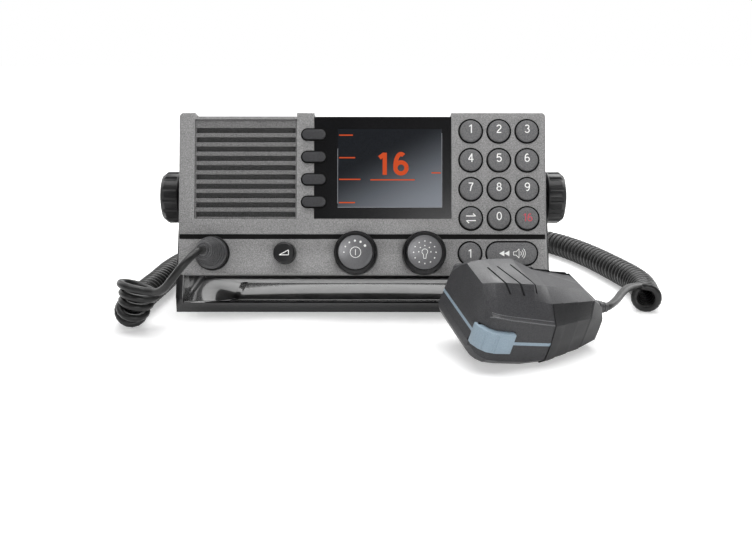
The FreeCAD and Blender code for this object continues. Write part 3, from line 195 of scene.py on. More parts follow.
# Polyurethane jacket of the cord: smooth, satin, with long soft highlights.
CORD_PU = grained(
    "cord_polyurethane", "#151515", "#202020", 0.5, 0.006, 0.36, **{"Specular IOR Level": 0.32}
)
# Soft moulded PVC of the plug and boots.
BOOT_PVC = grained("boot_pvc", "#333335", "#474748", 0.4, 0.015, 0.4)
# Speaker cloth: a dull mid grey between the louvres.
SPEAKER_CLOTH = grained("speaker_cloth", "#393939", "#626262", 0.5, 0.1, 0.8, **DULL)
# Rubber washers and gasket: matt black.
SEAL_RUBBER = grained("seal_rubber", "#171717", "#232323", 0.5, 0.02, 0.7, **DULL)
# Painted shade for the gaps round the keys and for the panel's groove: a near-black matt sheet.
GAP_SHADE_BLACK = grained("painted_gap_shade", "#0e0e0e", "#161616", 0.5, 0.02, 0.8, **{"Specular IOR Level": 0.1})
# Polycarbonate case of the hand microphone: near black, finely matted.
CASE_PC = grained("microphone_polycarbonate", "#2d2d2f", "#454547", 0.5, 0.04, 0.4, **DULL)
# The same case along its ledge, smoother and painted lighter there: a painted highlight on the edge.
CASE_EDGE_HIGHLIGHT = grained("case_edge_painted_highlight", "#4f4f51", "#626264", 0.4, 0.01, 0.3)
# Rubber grip: darker than the case, with a dry touch.
GRIP_TPE = grained("grip_elastomer", "#1b1b1d", "#29292a", 0.45, 0.03, 0.48, **DULL)
# Blue-grey thermoplastic rubber of the talk key and seam.
ACCENT_TPE = grained("accent_elastomer", "#8496a3", "#94a6b3", 0.5, 0.01, 0.42)
# Turned nickel-plated brass of the aerial socket, and zinc-plated steel of screws, studs and shafts.
NICKEL = grained("nickel_plate", "#b9b6ae", "#cac7bf", 0.3, 0.004, 0.24, Metallic=1.0)
STEEL = grained("zinc_steel", "#9a9a98", "#aeaeac", 0.3, 0.006, 0.32, Metallic=1.0)
# Solder-masked glass-epoxy boards.
BOARD_EPOXY = grained("solder_mask", "#0d3a22", "#124a2c", 0.6, 0.01, 0.3)
# Pad-printed ink.
WHITE_INK = grained("white_ink", "#f2f2f0", "#fafaf8", 0.4, 0.002, 0.5)
RED_INK = grained("red_ink", "#c23f50", "#cd4a5a", 0.4, 0.002, 0.5)
# Hard-coated acrylic lens: black behind, smooth and glossy in front.
LENS_ACRYLIC = grained("black_backed_acrylic", "#060608", "#09090c", 2.0, 0.0, 0.2, spread=0.01)
# Satin-anodised caps of the two large knobs, with a soft metal bloom.
CAP_METAL = grained("anodised_cap", "#5c5c5e", "#78787a", 0.25, 0.01, 0.36, Metallic=0.4)


def lit_material(name, colour, strength):
    """A backlit dye behind the lens: its own plain glow."""
    material, tree = new_material(name)
    glow = add_node(tree, "ShaderNodeEmission", {"Color": linear(colour), "Strength": strength})
    surface_output(tree, glow)
    return material


def display_with_painted_reflection():
    """A switched-on liquid crystal panel, with a reflection painted into its colour: near black at its upper
    left and blue-grey at its lower right. The brightness follows a weighted sum of the place's x and z, and a
    fine noise stands for the cells."""
    material, tree = new_material("liquid_crystal_painted_reflection")
    place = add_node(tree, "ShaderNodeTexCoord").outputs["Object"]
    sum_of_place = add_node(
        tree,
        "ShaderNodeVectorMath",
        {0: place, 1: (5.9, 0.0, -12.0)},  # x and z weighed against each other
        operation="DOT_PRODUCT",
    )
    # painted reflection: the colour runs from dark at the upper left to light at the lower right
    painted_reflection = add_node(
        tree,
        "ShaderNodeMapRange",
        {"Value": sum_of_place.outputs["Value"], "From Min": -1.25, "From Max": -0.5},
        interpolation_type="SMOOTHSTEP",
    )
    cells = add_node(tree, "ShaderNodeTexNoise", {"Vector": place, "Scale": 1 / (0.4 * MM), "Detail": 1.0})
    share = add_node(
        tree,
        "ShaderNodeMath",
        {0: cells.outputs["Fac"], 1: 0.04, 2: painted_reflection.outputs[0]},
        operation="MULTIPLY_ADD",
    )
    colour = add_node(
        tree,
        "ShaderNodeMix",
        {"Factor": share.outputs[0], 6: linear("#0e1116"), 7: linear("#80858d")},
        data_type="RGBA",
    )
    shader = add_node(
        tree,
        "ShaderNodeBsdfPrincipled",
        {"Base Color": colour.outputs[2], "Roughness": 0.2, "Specular IOR Level": 0.35},
    )
    surface_output(tree, shader)
    return material


# The display's screen, with a painted reflection in its colour.
DISPLAY_CELLS_AND_REFLECTION = display_with_painted_reflection()
# The display's lit figures, an orange red that doesn't burn out.
DISPLAY_DYE = lit_material("display_dye", "#c94f2c", 1.0)
# A painted highlight: the cut edge of the screen's glass, painted light grey where it catches light.
DISPLAY_EDGE_HIGHLIGHT = grained("screen_edge_painted_highlight", "#7b7e84", "#8b8d92", 0.5, 0.0, 0.3)


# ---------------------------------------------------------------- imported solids


WELD_DISTANCE = 2e-6
CORNER_BEVEL, FACET_BEVEL = 35, 9  # degrees, the least corner that is rounded


def corner_shading(limit):
    """Geometry nodes that weld a solid's loose triangles and shade it smooth, but for corners over a limit in
    degrees."""
    tree = bpy.data.node_groups.new(f"corners_over_{limit}", "GeometryNodeTree")
    for way in ("INPUT", "OUTPUT"):
        tree.interface.new_socket("Geometry", in_out=way, socket_type="NodeSocketGeometry")
    start = add_node(tree, "NodeGroupInput")
    welded = add_node(
        tree,
        "GeometryNodeMergeByDistance",
        {"Geometry": start.outputs[0], "Distance": WELD_DISTANCE},
    )
    angle = add_node(tree, "GeometryNodeInputMeshEdgeAngle")
    corner = add_node(
        tree,
        "FunctionNodeCompare",
        {0: angle.outputs["Unsigned Angle"], 1: math.radians(limit)},
        operation="GREATER_THAN",
        data_type="FLOAT",
    )
    smooth = add_node(tree, "GeometryNodeSetShadeSmooth", {"Geometry": welded.outputs[0]}, domain="FACE")
    smooth.inputs["Shade Smooth"].default_value = True
    sharp = add_node(
        tree,
        "GeometryNodeSetShadeSmooth",
        {"Geometry": smooth.outputs[0], "Selection": corner.outputs[0]},
        domain="EDGE",
    )
    sharp.inputs["Shade Smooth"].default_value = False
    add_node(tree, "NodeGroupOutput", {0: sharp.outputs[0]})
    return tree


CORNERS = corner_shading(32)
FACETS = corner_shading(14)  # for shapes whose flats meet at a slight angle


def dress(name, material, edge=0.0, corners=CORNERS):
    """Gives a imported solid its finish, its smooth shading and, where edge is given, a rounded edge of that
    many millimetres."""
    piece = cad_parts[name]
    for holder in piece.material_slots:
        holder.material = material
    if edge:
        weld = piece.modifiers.new("weld", "WELD")
        weld.merge_threshold = WELD_DISTANCE
        bevel = piece.modifiers.new("edge", "BEVEL")
        bevel.width = edge * MM
        bevel.segments = 2
        bevel.limit_method = "ANGLE"
        bevel.angle_limit = math.radians(CORNER_BEVEL if corners == CORNERS else FACET_BEVEL)
        bevel.use_clamp_overlap = True
    shading = piece.modifiers.new("shading", "NODES")
    shading.node_group = corners
    return piece


KEYS = [f"key_{i}" for i in range(10)] + ["key_watch", "key_call", "key_power_level", "key_replay"]
SOFT_KEYS = [f"soft_key_{i}" for i in range(1, 5)]

for name, material, edge in (
    ("front_panel", PANEL_ABS, 0.35),
    ("speaker_grille", LOUVRE_ABS, 0.25),
    ("speaker_cloth", SPEAKER_CLOTH, 0.0),
    ("speaker_driver", SPEAKER_CLOTH, 0.0),
    ("display_window", LENS_ACRYLIC, 0.0),
    ("lcd_module", SEAL_RUBBER, 0.0),
    ("control_board", BOARD_EPOXY, 0.0),
    ("main_board", BOARD_EPOXY, 0.0),
    ("rear_housing", CAST_COAT, 0.0),
    ("panel_gasket", SEAL_RUBBER, 0.0),
    ("antenna_socket", NICKEL, 0.0),
    ("power_inlet", KNOB_NYLON, 0.3),
    ("mic_socket", KNOB_NYLON, 0.0),
    ("mic_plug", BOOT_PVC, 0.25),
    ("housing_screws", STEEL, 0.2),
    ("tilt_washers", SEAL_RUBBER, 0.3),
    ("mounting_bracket", POWDER_COAT, 0.35),
    ("handset_seam", ACCENT_TPE, 0.0),
    ("handset_speaker", SPEAKER_CLOTH, 0.0),
    ("hang_stud", STEEL, 0.0),
    ("cord_boot", BOOT_PVC, 0.2),
    ("talk_key", ACCENT_TPE, 0.5),
    ("clamp_knob_left", CLAMP_NYLON, 0.3),
    ("clamp_knob_right", CLAMP_NYLON, 0.3),
    ("clamp_stud_left", STEEL, 0.0),
    ("clamp_stud_right", STEEL, 0.0),
    ("volume_shaft", STEEL, 0.0),
    ("select_shaft", STEEL, 0.0),
    ("volume_knob", KNOB_NYLON, 0.3),
    ("select_knob", KNOB_NYLON, 0.3),
    ("volume_cap", CAP_METAL, 0.2),
    ("select_cap", CAP_METAL, 0.2),
    ("squelch_knob", CLAMP_NYLON, 0.3),
):
    dress(name, material, edge)
dress("handset_back_shell", CASE_PC, 0.9, FACETS)
dress("handset_front_shell", CASE_PC, 0.6, FACETS)
dress("handset_grip", GRIP_TPE, 0.4, FACETS)
for name in KEYS:
    dress(name, KEY_SILICONE, 0.8)
for name in SOFT_KEYS:
    dress(name, SOFT_KEY_SILICONE, 0.35)


# ---------------------------------------------------------------- new pieces


def finished(name, mesh, material, body):
    """A piece in the scene from its mesh, with its finish, riding on a body."""
    piece = bpy.data.objects.new(name, mesh)
    bpy.context.scene.collection.objects.link(piece)
    mesh.materials.clear()
    mesh.materials.append(material)
    if body:
        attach(piece, body)
    return piece


def curve_mesh(curve):
    """A curve as a mesh of its own."""
    holder = bpy.data.objects.new(curve.name, curve)
    bpy.context.scene.collection.objects.link(holder)
    graph = bpy.context.evaluated_depsgraph_get()
    mesh = bpy.data.meshes.new_from_object(holder.evaluated_get(graph))
    bpy.data.objects.remove(holder)
    return mesh


def mesh_points(mesh):
    """A mesh's vertices as rows of x, y and z."""
    points = np.empty(len(mesh.vertices) * 3)
    mesh.vertices.foreach_get("co", points)
    return points.reshape(-1, 3)


def smooth_line(name, points):
    """The NURBS line that a route's control points shape, as points along it."""
    curve = bpy.data.curves.new(name, "CURVE")
    curve.dimensions = "3D"
    curve.resolution_u = 16
    spline = curve.splines.new("NURBS")
    spline.points.add(len(points) - 1)
    spline.points.foreach_set("co", np.column_stack([points, np.ones(len(points))]).ravel())
    spline.order_u = 3
    spline.use_endpoint_u = True
    mesh = curve_mesh(curve)
    line = mesh_points(mesh)
    bpy.data.meshes.remove(mesh)
    return line


def evenly(line, count):
    """count points spaced evenly along a line."""
    steps = np.concatenate([[0], np.cumsum(np.linalg.norm(np.diff(line, axis=0), axis=1))])
    at = np.linspace(0, steps[-1], count)
    return np.column_stack([np.interp(at, steps, line[:, i]) for i in range(3)])


def span(line):
    """A line's length."""
    return np.linalg.norm(np.diff(line, axis=0), axis=1).sum()


def tubes(name, paths, radius, sides=2):
    """Round bars along paths in metres, as one mesh, of a radius in millimetres."""
    curve = bpy.data.curves.new(name, "CURVE")
    curve.dimensions = "3D"
    for path in paths:
        spline = curve.splines.new("POLY")
        spline.points.add(len(path) - 1)
        spline.points.foreach_set("co", np.column_stack([path, np.ones(len(path))]).ravel())
    curve.bevel_depth = radius * MM
    curve.bevel_resolution = sides
    curve.use_fill_caps = True
    mesh = curve_mesh(curve)
    mesh.shade_smooth()
    return mesh


# ---------------------------------------------------------------- printed marks and the display

# Places on the radio, in millimetres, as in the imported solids.
PANEL_FACE = -47.0
KEY_FRONT = -48.3
CAP_FRONT = -60.4
SQUELCH_FRONT = -56.2
LENS_FRONT = -46.8
KEY_X = (71.2, 89.65, 108.1)
KEY_Z = (38.0, 18.9, -0.2, -19.4)
SOFT_KEY_X = -31.7
SOFT_KEY_Z = (35.8, 21.0, 6.2, -8.6)
ROW_Z = -42.4  # the row of the knobs, the plug and the two lowest keys
PLUG_X, SQUELCH_X, VOLUME_X, SELECT_X = -98.0, -50.3, -4.0, 40.4
POWER_LEVEL_X = KEY_X[0] - 0.6
REPLAY_X = 97.9
GROOVE_Z, GROOVE_END, GROOVE_WIDTH = -31.45, 119.8, 3.2
SCREEN = (-16.1, -12.1, 52.3, 39.5)  # left, bottom, right and top
PLUG_PLACES = (48.4, 55.4, 56.4, 63.4, 70.4, 76.4)  # how far in front the plug's outline turns
PLUG_RADII = (10.3, 10.3, 9.4, 7.7, 6.6, 5.6)  # and its radius there

# The ink's thickness, the figures' height and the rings of painted shade round the keys, in millimetres.
INK = 0.05
LAYERS = (-INK / 2, -INK / 2, INK / 2, INK / 2)  # the heights of a bar's four edges
DIGIT_HEIGHT, CALL_HEIGHT, CHANNEL_HEIGHT = 5.6, 5.2, 14.6
DIGIT_RISE = 1.5  # how far a figure stands above its key's middle
RING_RADIUS, RING_WIDTH = 7.72, 1.1
REPLAY_RING = (33.7, 15.5)
SOFT_RING, SOFT_RING_WIDTH = (16.4, 7.5), 1.0


def disc(radius, middle=(0.0, 0.0), count=28):
    """A circle as a loop of points: the middle plus radius times (cosine, sine)."""
    angle = np.linspace(0, TURN, count, endpoint=False)
    return np.column_stack([np.cos(angle), np.sin(angle)]) * radius + middle


def ribbons(name, strokes):
    """Flat bars of the ink's thickness: for each (points, width), every point spreads by half the width to
    both sides, across the line, and by half the thickness up and down."""
    vertices, faces, first = [], [], 0
    for points, width in strokes:
        points = np.asarray(points, float)
        along = np.gradient(points, axis=0)
        along /= np.linalg.norm(along, axis=1)[:, None]
        across = np.column_stack([-along[:, 1], along[:, 0]]) * width / 2
        sides = [points + across, points - across, points - across, points + across]
        rows = np.stack([np.column_stack([p, np.full(len(p), z)]) for p, z in zip(sides, LAYERS)], axis=1)
        number = first + np.arange(4 * len(points)).reshape(-1, 4)
        round_again = np.roll(number, -1, axis=1)
        quads = np.stack([number[:-1], round_again[:-1], round_again[1:], number[1:]], axis=-1)
        vertices += rows.reshape(-1, 3).tolist()
        faces += quads.reshape(-1, 4).tolist() + [number[0, ::-1].tolist(), number[-1].tolist()]
        first += rows.shape[0] * 4
    mesh = bpy.data.meshes.new(name)
    mesh.from_pydata(vertices, [], faces)
    return mesh


def flat_shape(name, loops):
    """Loops of (x, y) points filled as one flat shape of the ink's thickness."""
    curve = bpy.data.curves.new(name, "CURVE")
    curve.dimensions = "2D"
    curve.fill_mode = "BOTH"
    curve.extrude = INK / 2
    for loop in loops:
        spline = curve.splines.new("POLY")
        spline.points.add(len(loop) - 1)
        spline.points.foreach_set(
            "co", np.column_stack([loop, np.zeros(len(loop)), np.ones(len(loop))]).ravel()
        )
        spline.use_cyclic_u = True
    return curve_mesh(curve)


def oval(wide, high, start, end, middle=(0.0, 0.0), count=20):
    """Part of an ellipse: the middle plus (wide cosine, high sine), from one angle to another in degrees."""
    angle = np.radians(np.linspace(start, end, count))
    return np.column_stack([wide * np.cos(angle), high * np.sin(angle)]) + middle


def around(radius, angle, middle=(0.0, 0.0)):
    """The point of a circle at an angle in degrees."""
    return oval(radius, radius, angle, 0, middle, 2)[0]


# Each figure's strokes on a field one unit high, its middle at the origin. Rounds keep half a stroke inside.
ROUND = 0.435
FIGURES = {
    "0": [oval(0.25, ROUND, 0, 360, count=32)],
    "1": [[(-0.17, 0.27), (0.06, 0.44)], [(0.07, 0.5), (0.07, -0.5)]],
    "2": [
        np.concatenate([oval(0.235, 0.235, 165, -38, (0, 0.2)), [(-0.14, -0.27), (-0.23, -0.44)]]),
        [(-0.27, -ROUND), (0.27, -ROUND)],
    ],
    "3": [oval(0.21, 0.205, 155, -90, (0, 0.23)), oval(0.25, 0.23, 90, -155, (0, -0.205))],
    "4": [[(0.11, 0.46), (-0.27, -0.18)], [(-0.3, -0.2), (0.3, -0.2)], [(0.12, 0.5), (0.12, -0.5)]],
    "5": [
        [(-0.19, ROUND), (0.25, ROUND)],
        [(-0.17, 0.44), (-0.23, -0.02)],
        oval(0.26, 0.275, 135, -150, (0, -0.16)),
    ],
    "6": [oval(0.25, 0.25, 0, 360, (0, -0.185), 28), oval(0.25, 0.56, 180, 62, (0, -0.12))],
    "7": [[(-0.27, ROUND), (0.28, ROUND)], [(0.25, 0.43), (0.04, 0.05), (-0.08, -0.5)]],
    "8": [oval(0.2, 0.205, 0, 360, (0, 0.23), 26), oval(0.25, 0.23, 0, 360, (0, -0.205), 28)],
}
FIGURES["9"] = [-np.asarray(part) for part in FIGURES["6"]]


def stadium(length, height, count=14):
    """A closed line round a bar with half-round ends: two half circles, joined by straight sides."""
    radius, reach = height / 2, (length - height) / 2
    right = oval(radius, radius, -90, 90, (reach, 0), count)
    left = oval(radius, radius, 90, 270, (-reach, 0), count)
    return np.concatenate([right, left, right[:1]])


def figure(name, text, height, weight=0.122, gap=0.72):
    """Figures of a height in millimetres, side by side about their own middle. The strokes' weight and the
    gap from one figure's middle to the next are shares of the height."""
    strokes = []
    for i, letter in enumerate(text):
        shift = ((i - (len(text) - 1) / 2) * gap, 0)
        strokes += [((np.asarray(part) + shift) * height, weight * height) for part in FIGURES[letter]]
    return ribbons(name, strokes)


def print_on(name, mesh, middle, front, material, body):
    """Puts a flat shape on a face of the radio: its x runs right and its y up, and it stands just proud."""
    points = mesh_points(mesh)
    flat = points[:, [0, 2, 1]] * (1, -1, 1) + (middle[0], front - INK / 2, middle[1])
    mesh.vertices.foreach_set("co", placed(RADIO, flat).ravel())
    mesh.update()
    return finished(name, mesh, material, body)


def key_marks():
    """The keypad's figures, each above the middle of its key, and the plain signs on the other keys."""
    for i, text in enumerate("1234567890"):
        row, column = (3, 1) if text == "0" else divmod(i, 3)
        place = (KEY_X[column], KEY_Z[row] + DIGIT_RISE)
        mesh = figure(f"figure_{text}", text, DIGIT_HEIGHT)
        print_on(f"figure_{text}", mesh, place, KEY_FRONT, WHITE_INK, f"key_{text}")
    call = figure("figure_call", "16", CALL_HEIGHT, 0.12, 0.62)
    place = (KEY_X[2], KEY_Z[3] + 0.6)
    print_on("figure_call", call, place, KEY_FRONT, RED_INK, "key_call")
    low = figure("figure_low_power", "1", DIGIT_HEIGHT)
    place = (POWER_LEVEL_X, ROW_Z)
    print_on("figure_low_power", low, place, KEY_FRONT, WHITE_INK, "key_power_level")

    # two half-barbed arrows, one the other turned half round
    arrows = []
    for side in (1, -1):
        arrows.append(([(-3.2 * side, 1.5 * side), (2.6 * side, 1.5 * side)], 0.7))
        arrows.append(([(1.3 * side, 3.1 * side), (3.1 * side, 1.4 * side)], 0.7))
    watch = ribbons("watch_arrows", arrows)
    place = (KEY_X[0], KEY_Z[3])
    print_on("watch_arrows", watch, place, KEY_FRONT, WHITE_INK, "key_watch")

    # two triangles that point left, and a loudspeaker with three sound waves
    place = (REPLAY_X, ROW_Z)
    back = [np.array([(0.0, 0.0), (3.3, 1.9), (3.3, -1.9)]) + (x, 0) for x in (-8.3, -5.0)]
    rewind = flat_shape("rewind_sign", back)
    print_on("rewind_sign", rewind, place, KEY_FRONT, WHITE_INK, "key_replay")
    horn = [(1.0, -1.1), (1.0, 1.1), (2.7, 1.1), (4.6, 3.0), (4.6, -3.0), (2.7, -1.1), (1.0, -1.1)]
    waves = [(oval(r, r, -44, 44, (4.2, 0.0), 16), 0.4) for r in (1.9, 3.2, 4.5)]
    sound = ribbons("loudspeaker_sign", [*(([p, q], 0.4) for p, q in zip(horn, horn[1:])), *waves])
    print_on("loudspeaker_sign", sound, place, KEY_FRONT, WHITE_INK, "key_replay")


def key_gap_shades():
    """Painted shade: a black ring round each key, where its gap lies in shade, and a black strip in the
    groove.
    """
    centres = [(x, z) for z in KEY_Z for x in KEY_X] + [(POWER_LEVEL_X, ROW_Z)]
    rings = [(oval(RING_RADIUS, RING_RADIUS, 0, 360, at, 40), RING_WIDTH) for at in centres]
    rings.append((stadium(*REPLAY_RING) + (REPLAY_X, ROW_Z), RING_WIDTH))
    rings += [(stadium(*SOFT_RING) + (SOFT_KEY_X, z), SOFT_RING_WIDTH) for z in SOFT_KEY_Z]
    # the gaps' shade, painted as black rings on the panel's face
    gap_shade = ribbons("keypad_gap_shade_rings", rings)
    print_on("keypad_gap_shade_rings", gap_shade, (0, 0), PANEL_FACE, GAP_SHADE_BLACK, "radio")
    line = [(-GROOVE_END, GROOVE_Z), (GROOVE_END, GROOVE_Z)]
    groove_shade = ribbons("groove_painted_shade", [(line, GROOVE_WIDTH)])
    # the groove's shade, painted as a black strip just inside the panel's face
    print_on("groove_painted_shade", groove_shade, (0, 0), PANEL_FACE + 0.15, GAP_SHADE_BLACK, "radio")


def plug_rings():
    """Ribs round the plug, on its own narrowing radius."""
    rings = []
    for y in (-58.5, -62.2, -65.6, -68.8, -71.8, -74.6):
        radius = np.interp(-y, PLUG_PLACES, PLUG_RADII)
        ring = oval(radius, radius, 0, 360, (PLUG_X, ROW_Z), 40)
        rings.append(placed(RADIO, np.column_stack([ring[:, 0], np.full(len(ring), y), ring[:, 1]])))
    finished("plug_ribs", tubes("plug_ribs", rings, 0.42), BOOT_PVC, "radio")


def talk_key_ribs():
    """Upright ribs on the talk key's curved end, half sunk in its face."""
    face = smooth_line("talk_key_face", [(-1.7, -24.6, 0), (0.5, -29.4, 0), (4, -32.9, 0), (9, -34.3, 0)])
    feet = evenly(face, 11)[1:]
    heights = np.linspace(9.9, 20.7, 6)
    ribs = [np.column_stack([np.tile(foot[:2], (len(heights), 1)), heights]) for foot in feet]
    mesh = tubes("talk_key_ribs", [placed(MIC, rib) for rib in ribs], 0.38)
    finished("talk_key_ribs", mesh, ACCENT_TPE, "talk_key")


def case_beads():
    """Two fine beads along the ledge of the microphone's case, on both sides, half sunk in it, in a lighter
    finish that is a painted highlight on the ledge. Each point gives the place along the case, the reach to
    the side and the height."""
    ledge = [
        (3.6, 27.2, 28.0),
        (5.6, 29.0, 29.1),
        (8.5, 29.8, 29.2),
        (15.0, 30.7, 28.7),
        (32.0, 30.7, 27.3),
        (43.6, 30.7, 26.4),
    ]
    band = [
        (4.6, 25.6, 30.0),
        (6.6, 27.0, 30.1),
        (9.5, 27.9, 30.0),
        (15.0, 28.6, 29.7),
        (32.0, 28.6, 28.5),
        (43.6, 28.7, 27.7),
    ]
    beads = [placed(MIC, np.array(line) * (1, side, 1)) for line in (ledge, band) for side in (-1, 1)]
    # the beads' lighter finish is a painted highlight along the ledge
    finished("case_beads", tubes("case_beads", beads, 0.3), CASE_EDGE_HIGHLIGHT, "bracket")


def boot_rings():
    """Ribs round the cord's boot where it leaves the microphone, narrowing with it."""
    rings = []
    for x, radius in ((90.4, 3.9), (92.4, 3.6), (94.4, 3.3), (96.4, 2.95), (98.2, 2.65)):
        ring = oval(radius, radius, 0, 360, count=30)
        rings.append(placed(MIC, np.column_stack([np.full(len(ring), x), ring[:, 0], ring[:, 1] + BOOT_Z])))
    finished("boot_ribs", tubes("boot_ribs", rings, 0.45), BOOT_PVC, "bracket")


def knob_marks():
    """Volume: a ring with a bar, under a sweep of growing dots. Select: a lamp with rays, in a ring of dots.
    Squelch: a wedge that grows to the right."""
    place = (VOLUME_X, ROW_Z)
    sweep = [disc(0.4 + 0.09 * i, around(7.4, 180 - 29 * i), 14) for i in range(6)]
    dots = flat_shape("volume_dots", sweep)
    print_on("volume_dots", dots, place, CAP_FRONT, WHITE_INK, "volume_turn")
    power = ribbons("power_sign", [(oval(3.4, 3.4, 0, 360, count=40), 0.36), ([(0, -1.9), (0, 1.9)], 0.4)])
    print_on("power_sign", power, place, CAP_FRONT, WHITE_INK, "volume_turn")

    place = (SELECT_X, ROW_Z)
    rays = [disc(0.4, around(3.9, angle, (0, 0.4)), 12) for angle in (90, 42, -2, 182, 138)]
    ring = [disc(0.45, around(7.2, 90 + 30 * i), 12) for i in range(12)]
    halo = flat_shape("lamp_dots", rays + ring)
    print_on("lamp_dots", halo, place, CAP_FRONT, WHITE_INK, "select_turn")
    glass = oval(1.85, 1.85, 240, -60, (0, 0.3), 24)
    bulb = np.concatenate([[(-0.75, -4.0), (-0.9, -1.5)], glass, [(0.9, -1.5), (0.75, -4.0)]])
    lamp = ribbons("lamp_sign", [(bulb, 0.32), ([(-0.9, -3.9), (0.9, -3.9)], 0.32)])
    print_on("lamp_sign", lamp, place, CAP_FRONT, WHITE_INK, "select_turn")

    corners = [(-3.0, -1.5), (3.0, -1.5), (3.0, 1.7), (-3.0, -1.5)]
    wedge = ribbons("squelch_sign", [([p, q], 0.5) for p, q in zip(corners, corners[1:])])
    place = (SQUELCH_X, ROW_Z)
    print_on("squelch_sign", wedge, place, SQUELCH_FRONT, WHITE_INK, "squelch")


def display():
    """The screen just under the lens's face, its colour holding a painted reflection, and just over it its
    thin edges with a painted highlight, the channel's figures and plain bars, each a left end, a height and a
    length."""
    left, low, right, high = SCREEN
    middle = ((left + right) / 2, (low + high) / 2)
    half = ((right - left) / 2, (high - low) / 2)
    screen = ribbons("display_screen", [([(-half[0], 0), (half[0], 0)], 2 * half[1])])
    print_on("display_screen", screen, middle, LENS_FRONT + 0.02, DISPLAY_CELLS_AND_REFLECTION, "radio")
    edges = [
        [(half[0], -half[1]), (half[0], 0.9 * half[1])],
        [(-half[0], -half[1]), (half[0], -half[1])],
        [(-half[0], -0.9 * half[1]), (-half[0], 0.5 * half[1])],
    ]
    # painted highlight: light grey lines along the screen's edges
    edge_highlight = ribbons("display_edge_highlight", [(edge, 0.35) for edge in edges])
    print_on("display_edge_highlight", edge_highlight, middle, LENS_FRONT - 0.01, DISPLAY_EDGE_HIGHLIGHT, "radio")
    channel = figure("display_channel", "16", CHANNEL_HEIGHT, 0.19, 0.8)
    print_on("display_channel", channel, (19.6, 16.6), LENS_FRONT - 0.02, DISPLAY_DYE, "radio")
    start = left + 0.9
    rows = [(start, 35.5, 9.0), (start, 20.6, 10.5), (start, 6.3, 14.0), (start, -9.0, 10.5)]
    rows += [(right - 6.8, 10.6, 6.0), (5.4, 6.0, 29.0)]
    bars = ribbons("display_bars", [([(x, z), (x + length, z)], 0.8) for x, z, length in rows])
    print_on("display_bars", bars, (0, 0), LENS_FRONT - 0.02, DISPLAY_DYE, "radio")


key_marks()
key_gap_shades()
knob_marks()
display()


# ---------------------------------------------------------------- the cord

BOOT_Z = 22.0  # the height of the boot's axis in the hand microphone's frame

# Control points of the cord's route, in millimetres: the tail from the plug, the axis of the curly part, and
# the tail into the hand microphone's boot.
PLUG_EXIT = placed(RADIO, [(PLUG_X, -81.4, ROW_Z), (PLUG_X, -87.4, ROW_Z)]) / MM
TAIL_FRONT = [
    (-99.7, -102.0, 54.9),
    (-103.0, -107.4, 52.1),
    (-107.8, -111.0, 46.9),
    (-113.3, -111.3, 39.8),
    (-120.2, -107.0, 31.8),
]
COIL = [
    (-138.5, -87.0, 30.0),
    (-141.5, -88.0, 19.5),
    (-146.0, -86.0, 11.8),
    (-151.0, -68.0, 10.3),
    (-150.0, -30.0, 10.3),
    (-147.5, 0.0, 10.3),
    (-146.5, 34.0, 10.3),
    (-140.0, 68.0, 10.3),
    (-119.0, 100.0, 10.3),
    (-84.0, 121.0, 10.3),
    (-42.0, 132.0, 10.3),
    (2.0, 139.0, 10.3),
    (48.0, 149.0, 10.3),
    (92.0, 164.0, 10.3),
    (128.0, 167.0, 10.3),
    (154.0, 149.0, 10.3),
    (172.0, 117.0, 10.3),
    (184.0, 79.0, 10.3),
    (191.5, 43.0, 10.3),
    (197.5, 12.0, 10.3),
    (198.5, -17.0, 10.3),
    (192.0, -44.0, 10.3),
]
BOOT_EXIT = placed(MIC, [(99.0, 0.0, BOOT_Z), (94.0, 0.0, BOOT_Z)]) / MM
TAIL_HANDSET = [
    (183.0, -49.5, 20.2),
    (175.3, -60.0, 22.2),
    (168.9, -72.0, 23.4),
    (163.3, -83.5, 23.4),
    (158.4, -93.5, 22.6),
    (153.2, -101.6, 22.2),
]
WIRE = 5.0  # the cord's own thickness
TURN_RADIUS = 7.15  # from the winding's axis to the middle of the cord
PITCH = 5.6  # along the axis from one turn to the next
STEPS = 20  # points along each turn
START_ANGLE = 0.03  # where the first turn starts, in turns
LEVEL_TURNS = 7  # the turns over which the reference direction comes to lie level
# How far turns stand out beyond the winding's radius, and over how many turns that fades.
FIRST_SLACK, FIRST_FADE = 3.6, 1.1
NEXT_SLACK, NEXT_FADE = 1.5, 5.0
LAST_SLACK, LAST_FADE = 0.7, 1.5


def fade(turns, reach):
    """A bell that falls from 1: e to the power of minus the square of turns over reach."""
    return np.exp(-((turns / reach) ** 2))


def helix(axis_line):
    """Turns wound about a line: a point moves round at the winding's radius while it moves along. The first
    turns are slack and wide and draw in to the winding's own size, and the last one opens a little again."""
    length = span(axis_line)
    turns = round(length / PITCH) - START_ANGLE  # the last turn ends at its top
    axis = evenly(axis_line, int(turns * STEPS) + 1)
    along = np.gradient(axis, axis=0)
    along /= np.linalg.norm(along, axis=1)[:, None]
    # a reference across the line that never meets it: the line starts downwards and then stays level
    seed = np.tile([0.25, -1.0, 0.0], (len(axis), 1))
    level = np.tile([0.0, 0.0, 1.0], (len(axis), 1))
    way = np.clip(np.linspace(0, turns / LEVEL_TURNS, len(axis)), 0, 1)[:, None]
    across = seed * (1 - way) + level * way
    across -= (across * along).sum(axis=1)[:, None] * along
    across /= np.linalg.norm(across, axis=1)[:, None]
    side = np.cross(along, across)
    count = np.linspace(0, turns, len(axis))
    slack = FIRST_SLACK * fade(count, FIRST_FADE) + NEXT_SLACK * fade(count, NEXT_FADE)
    last = LAST_SLACK * fade(turns - count, LAST_FADE)
    radius = (TURN_RADIUS + slack + last)[:, None]
    angle = (TURN * (count + START_ANGLE))[:, None]
    return axis + radius * (np.cos(angle) * across + np.sin(angle) * side)


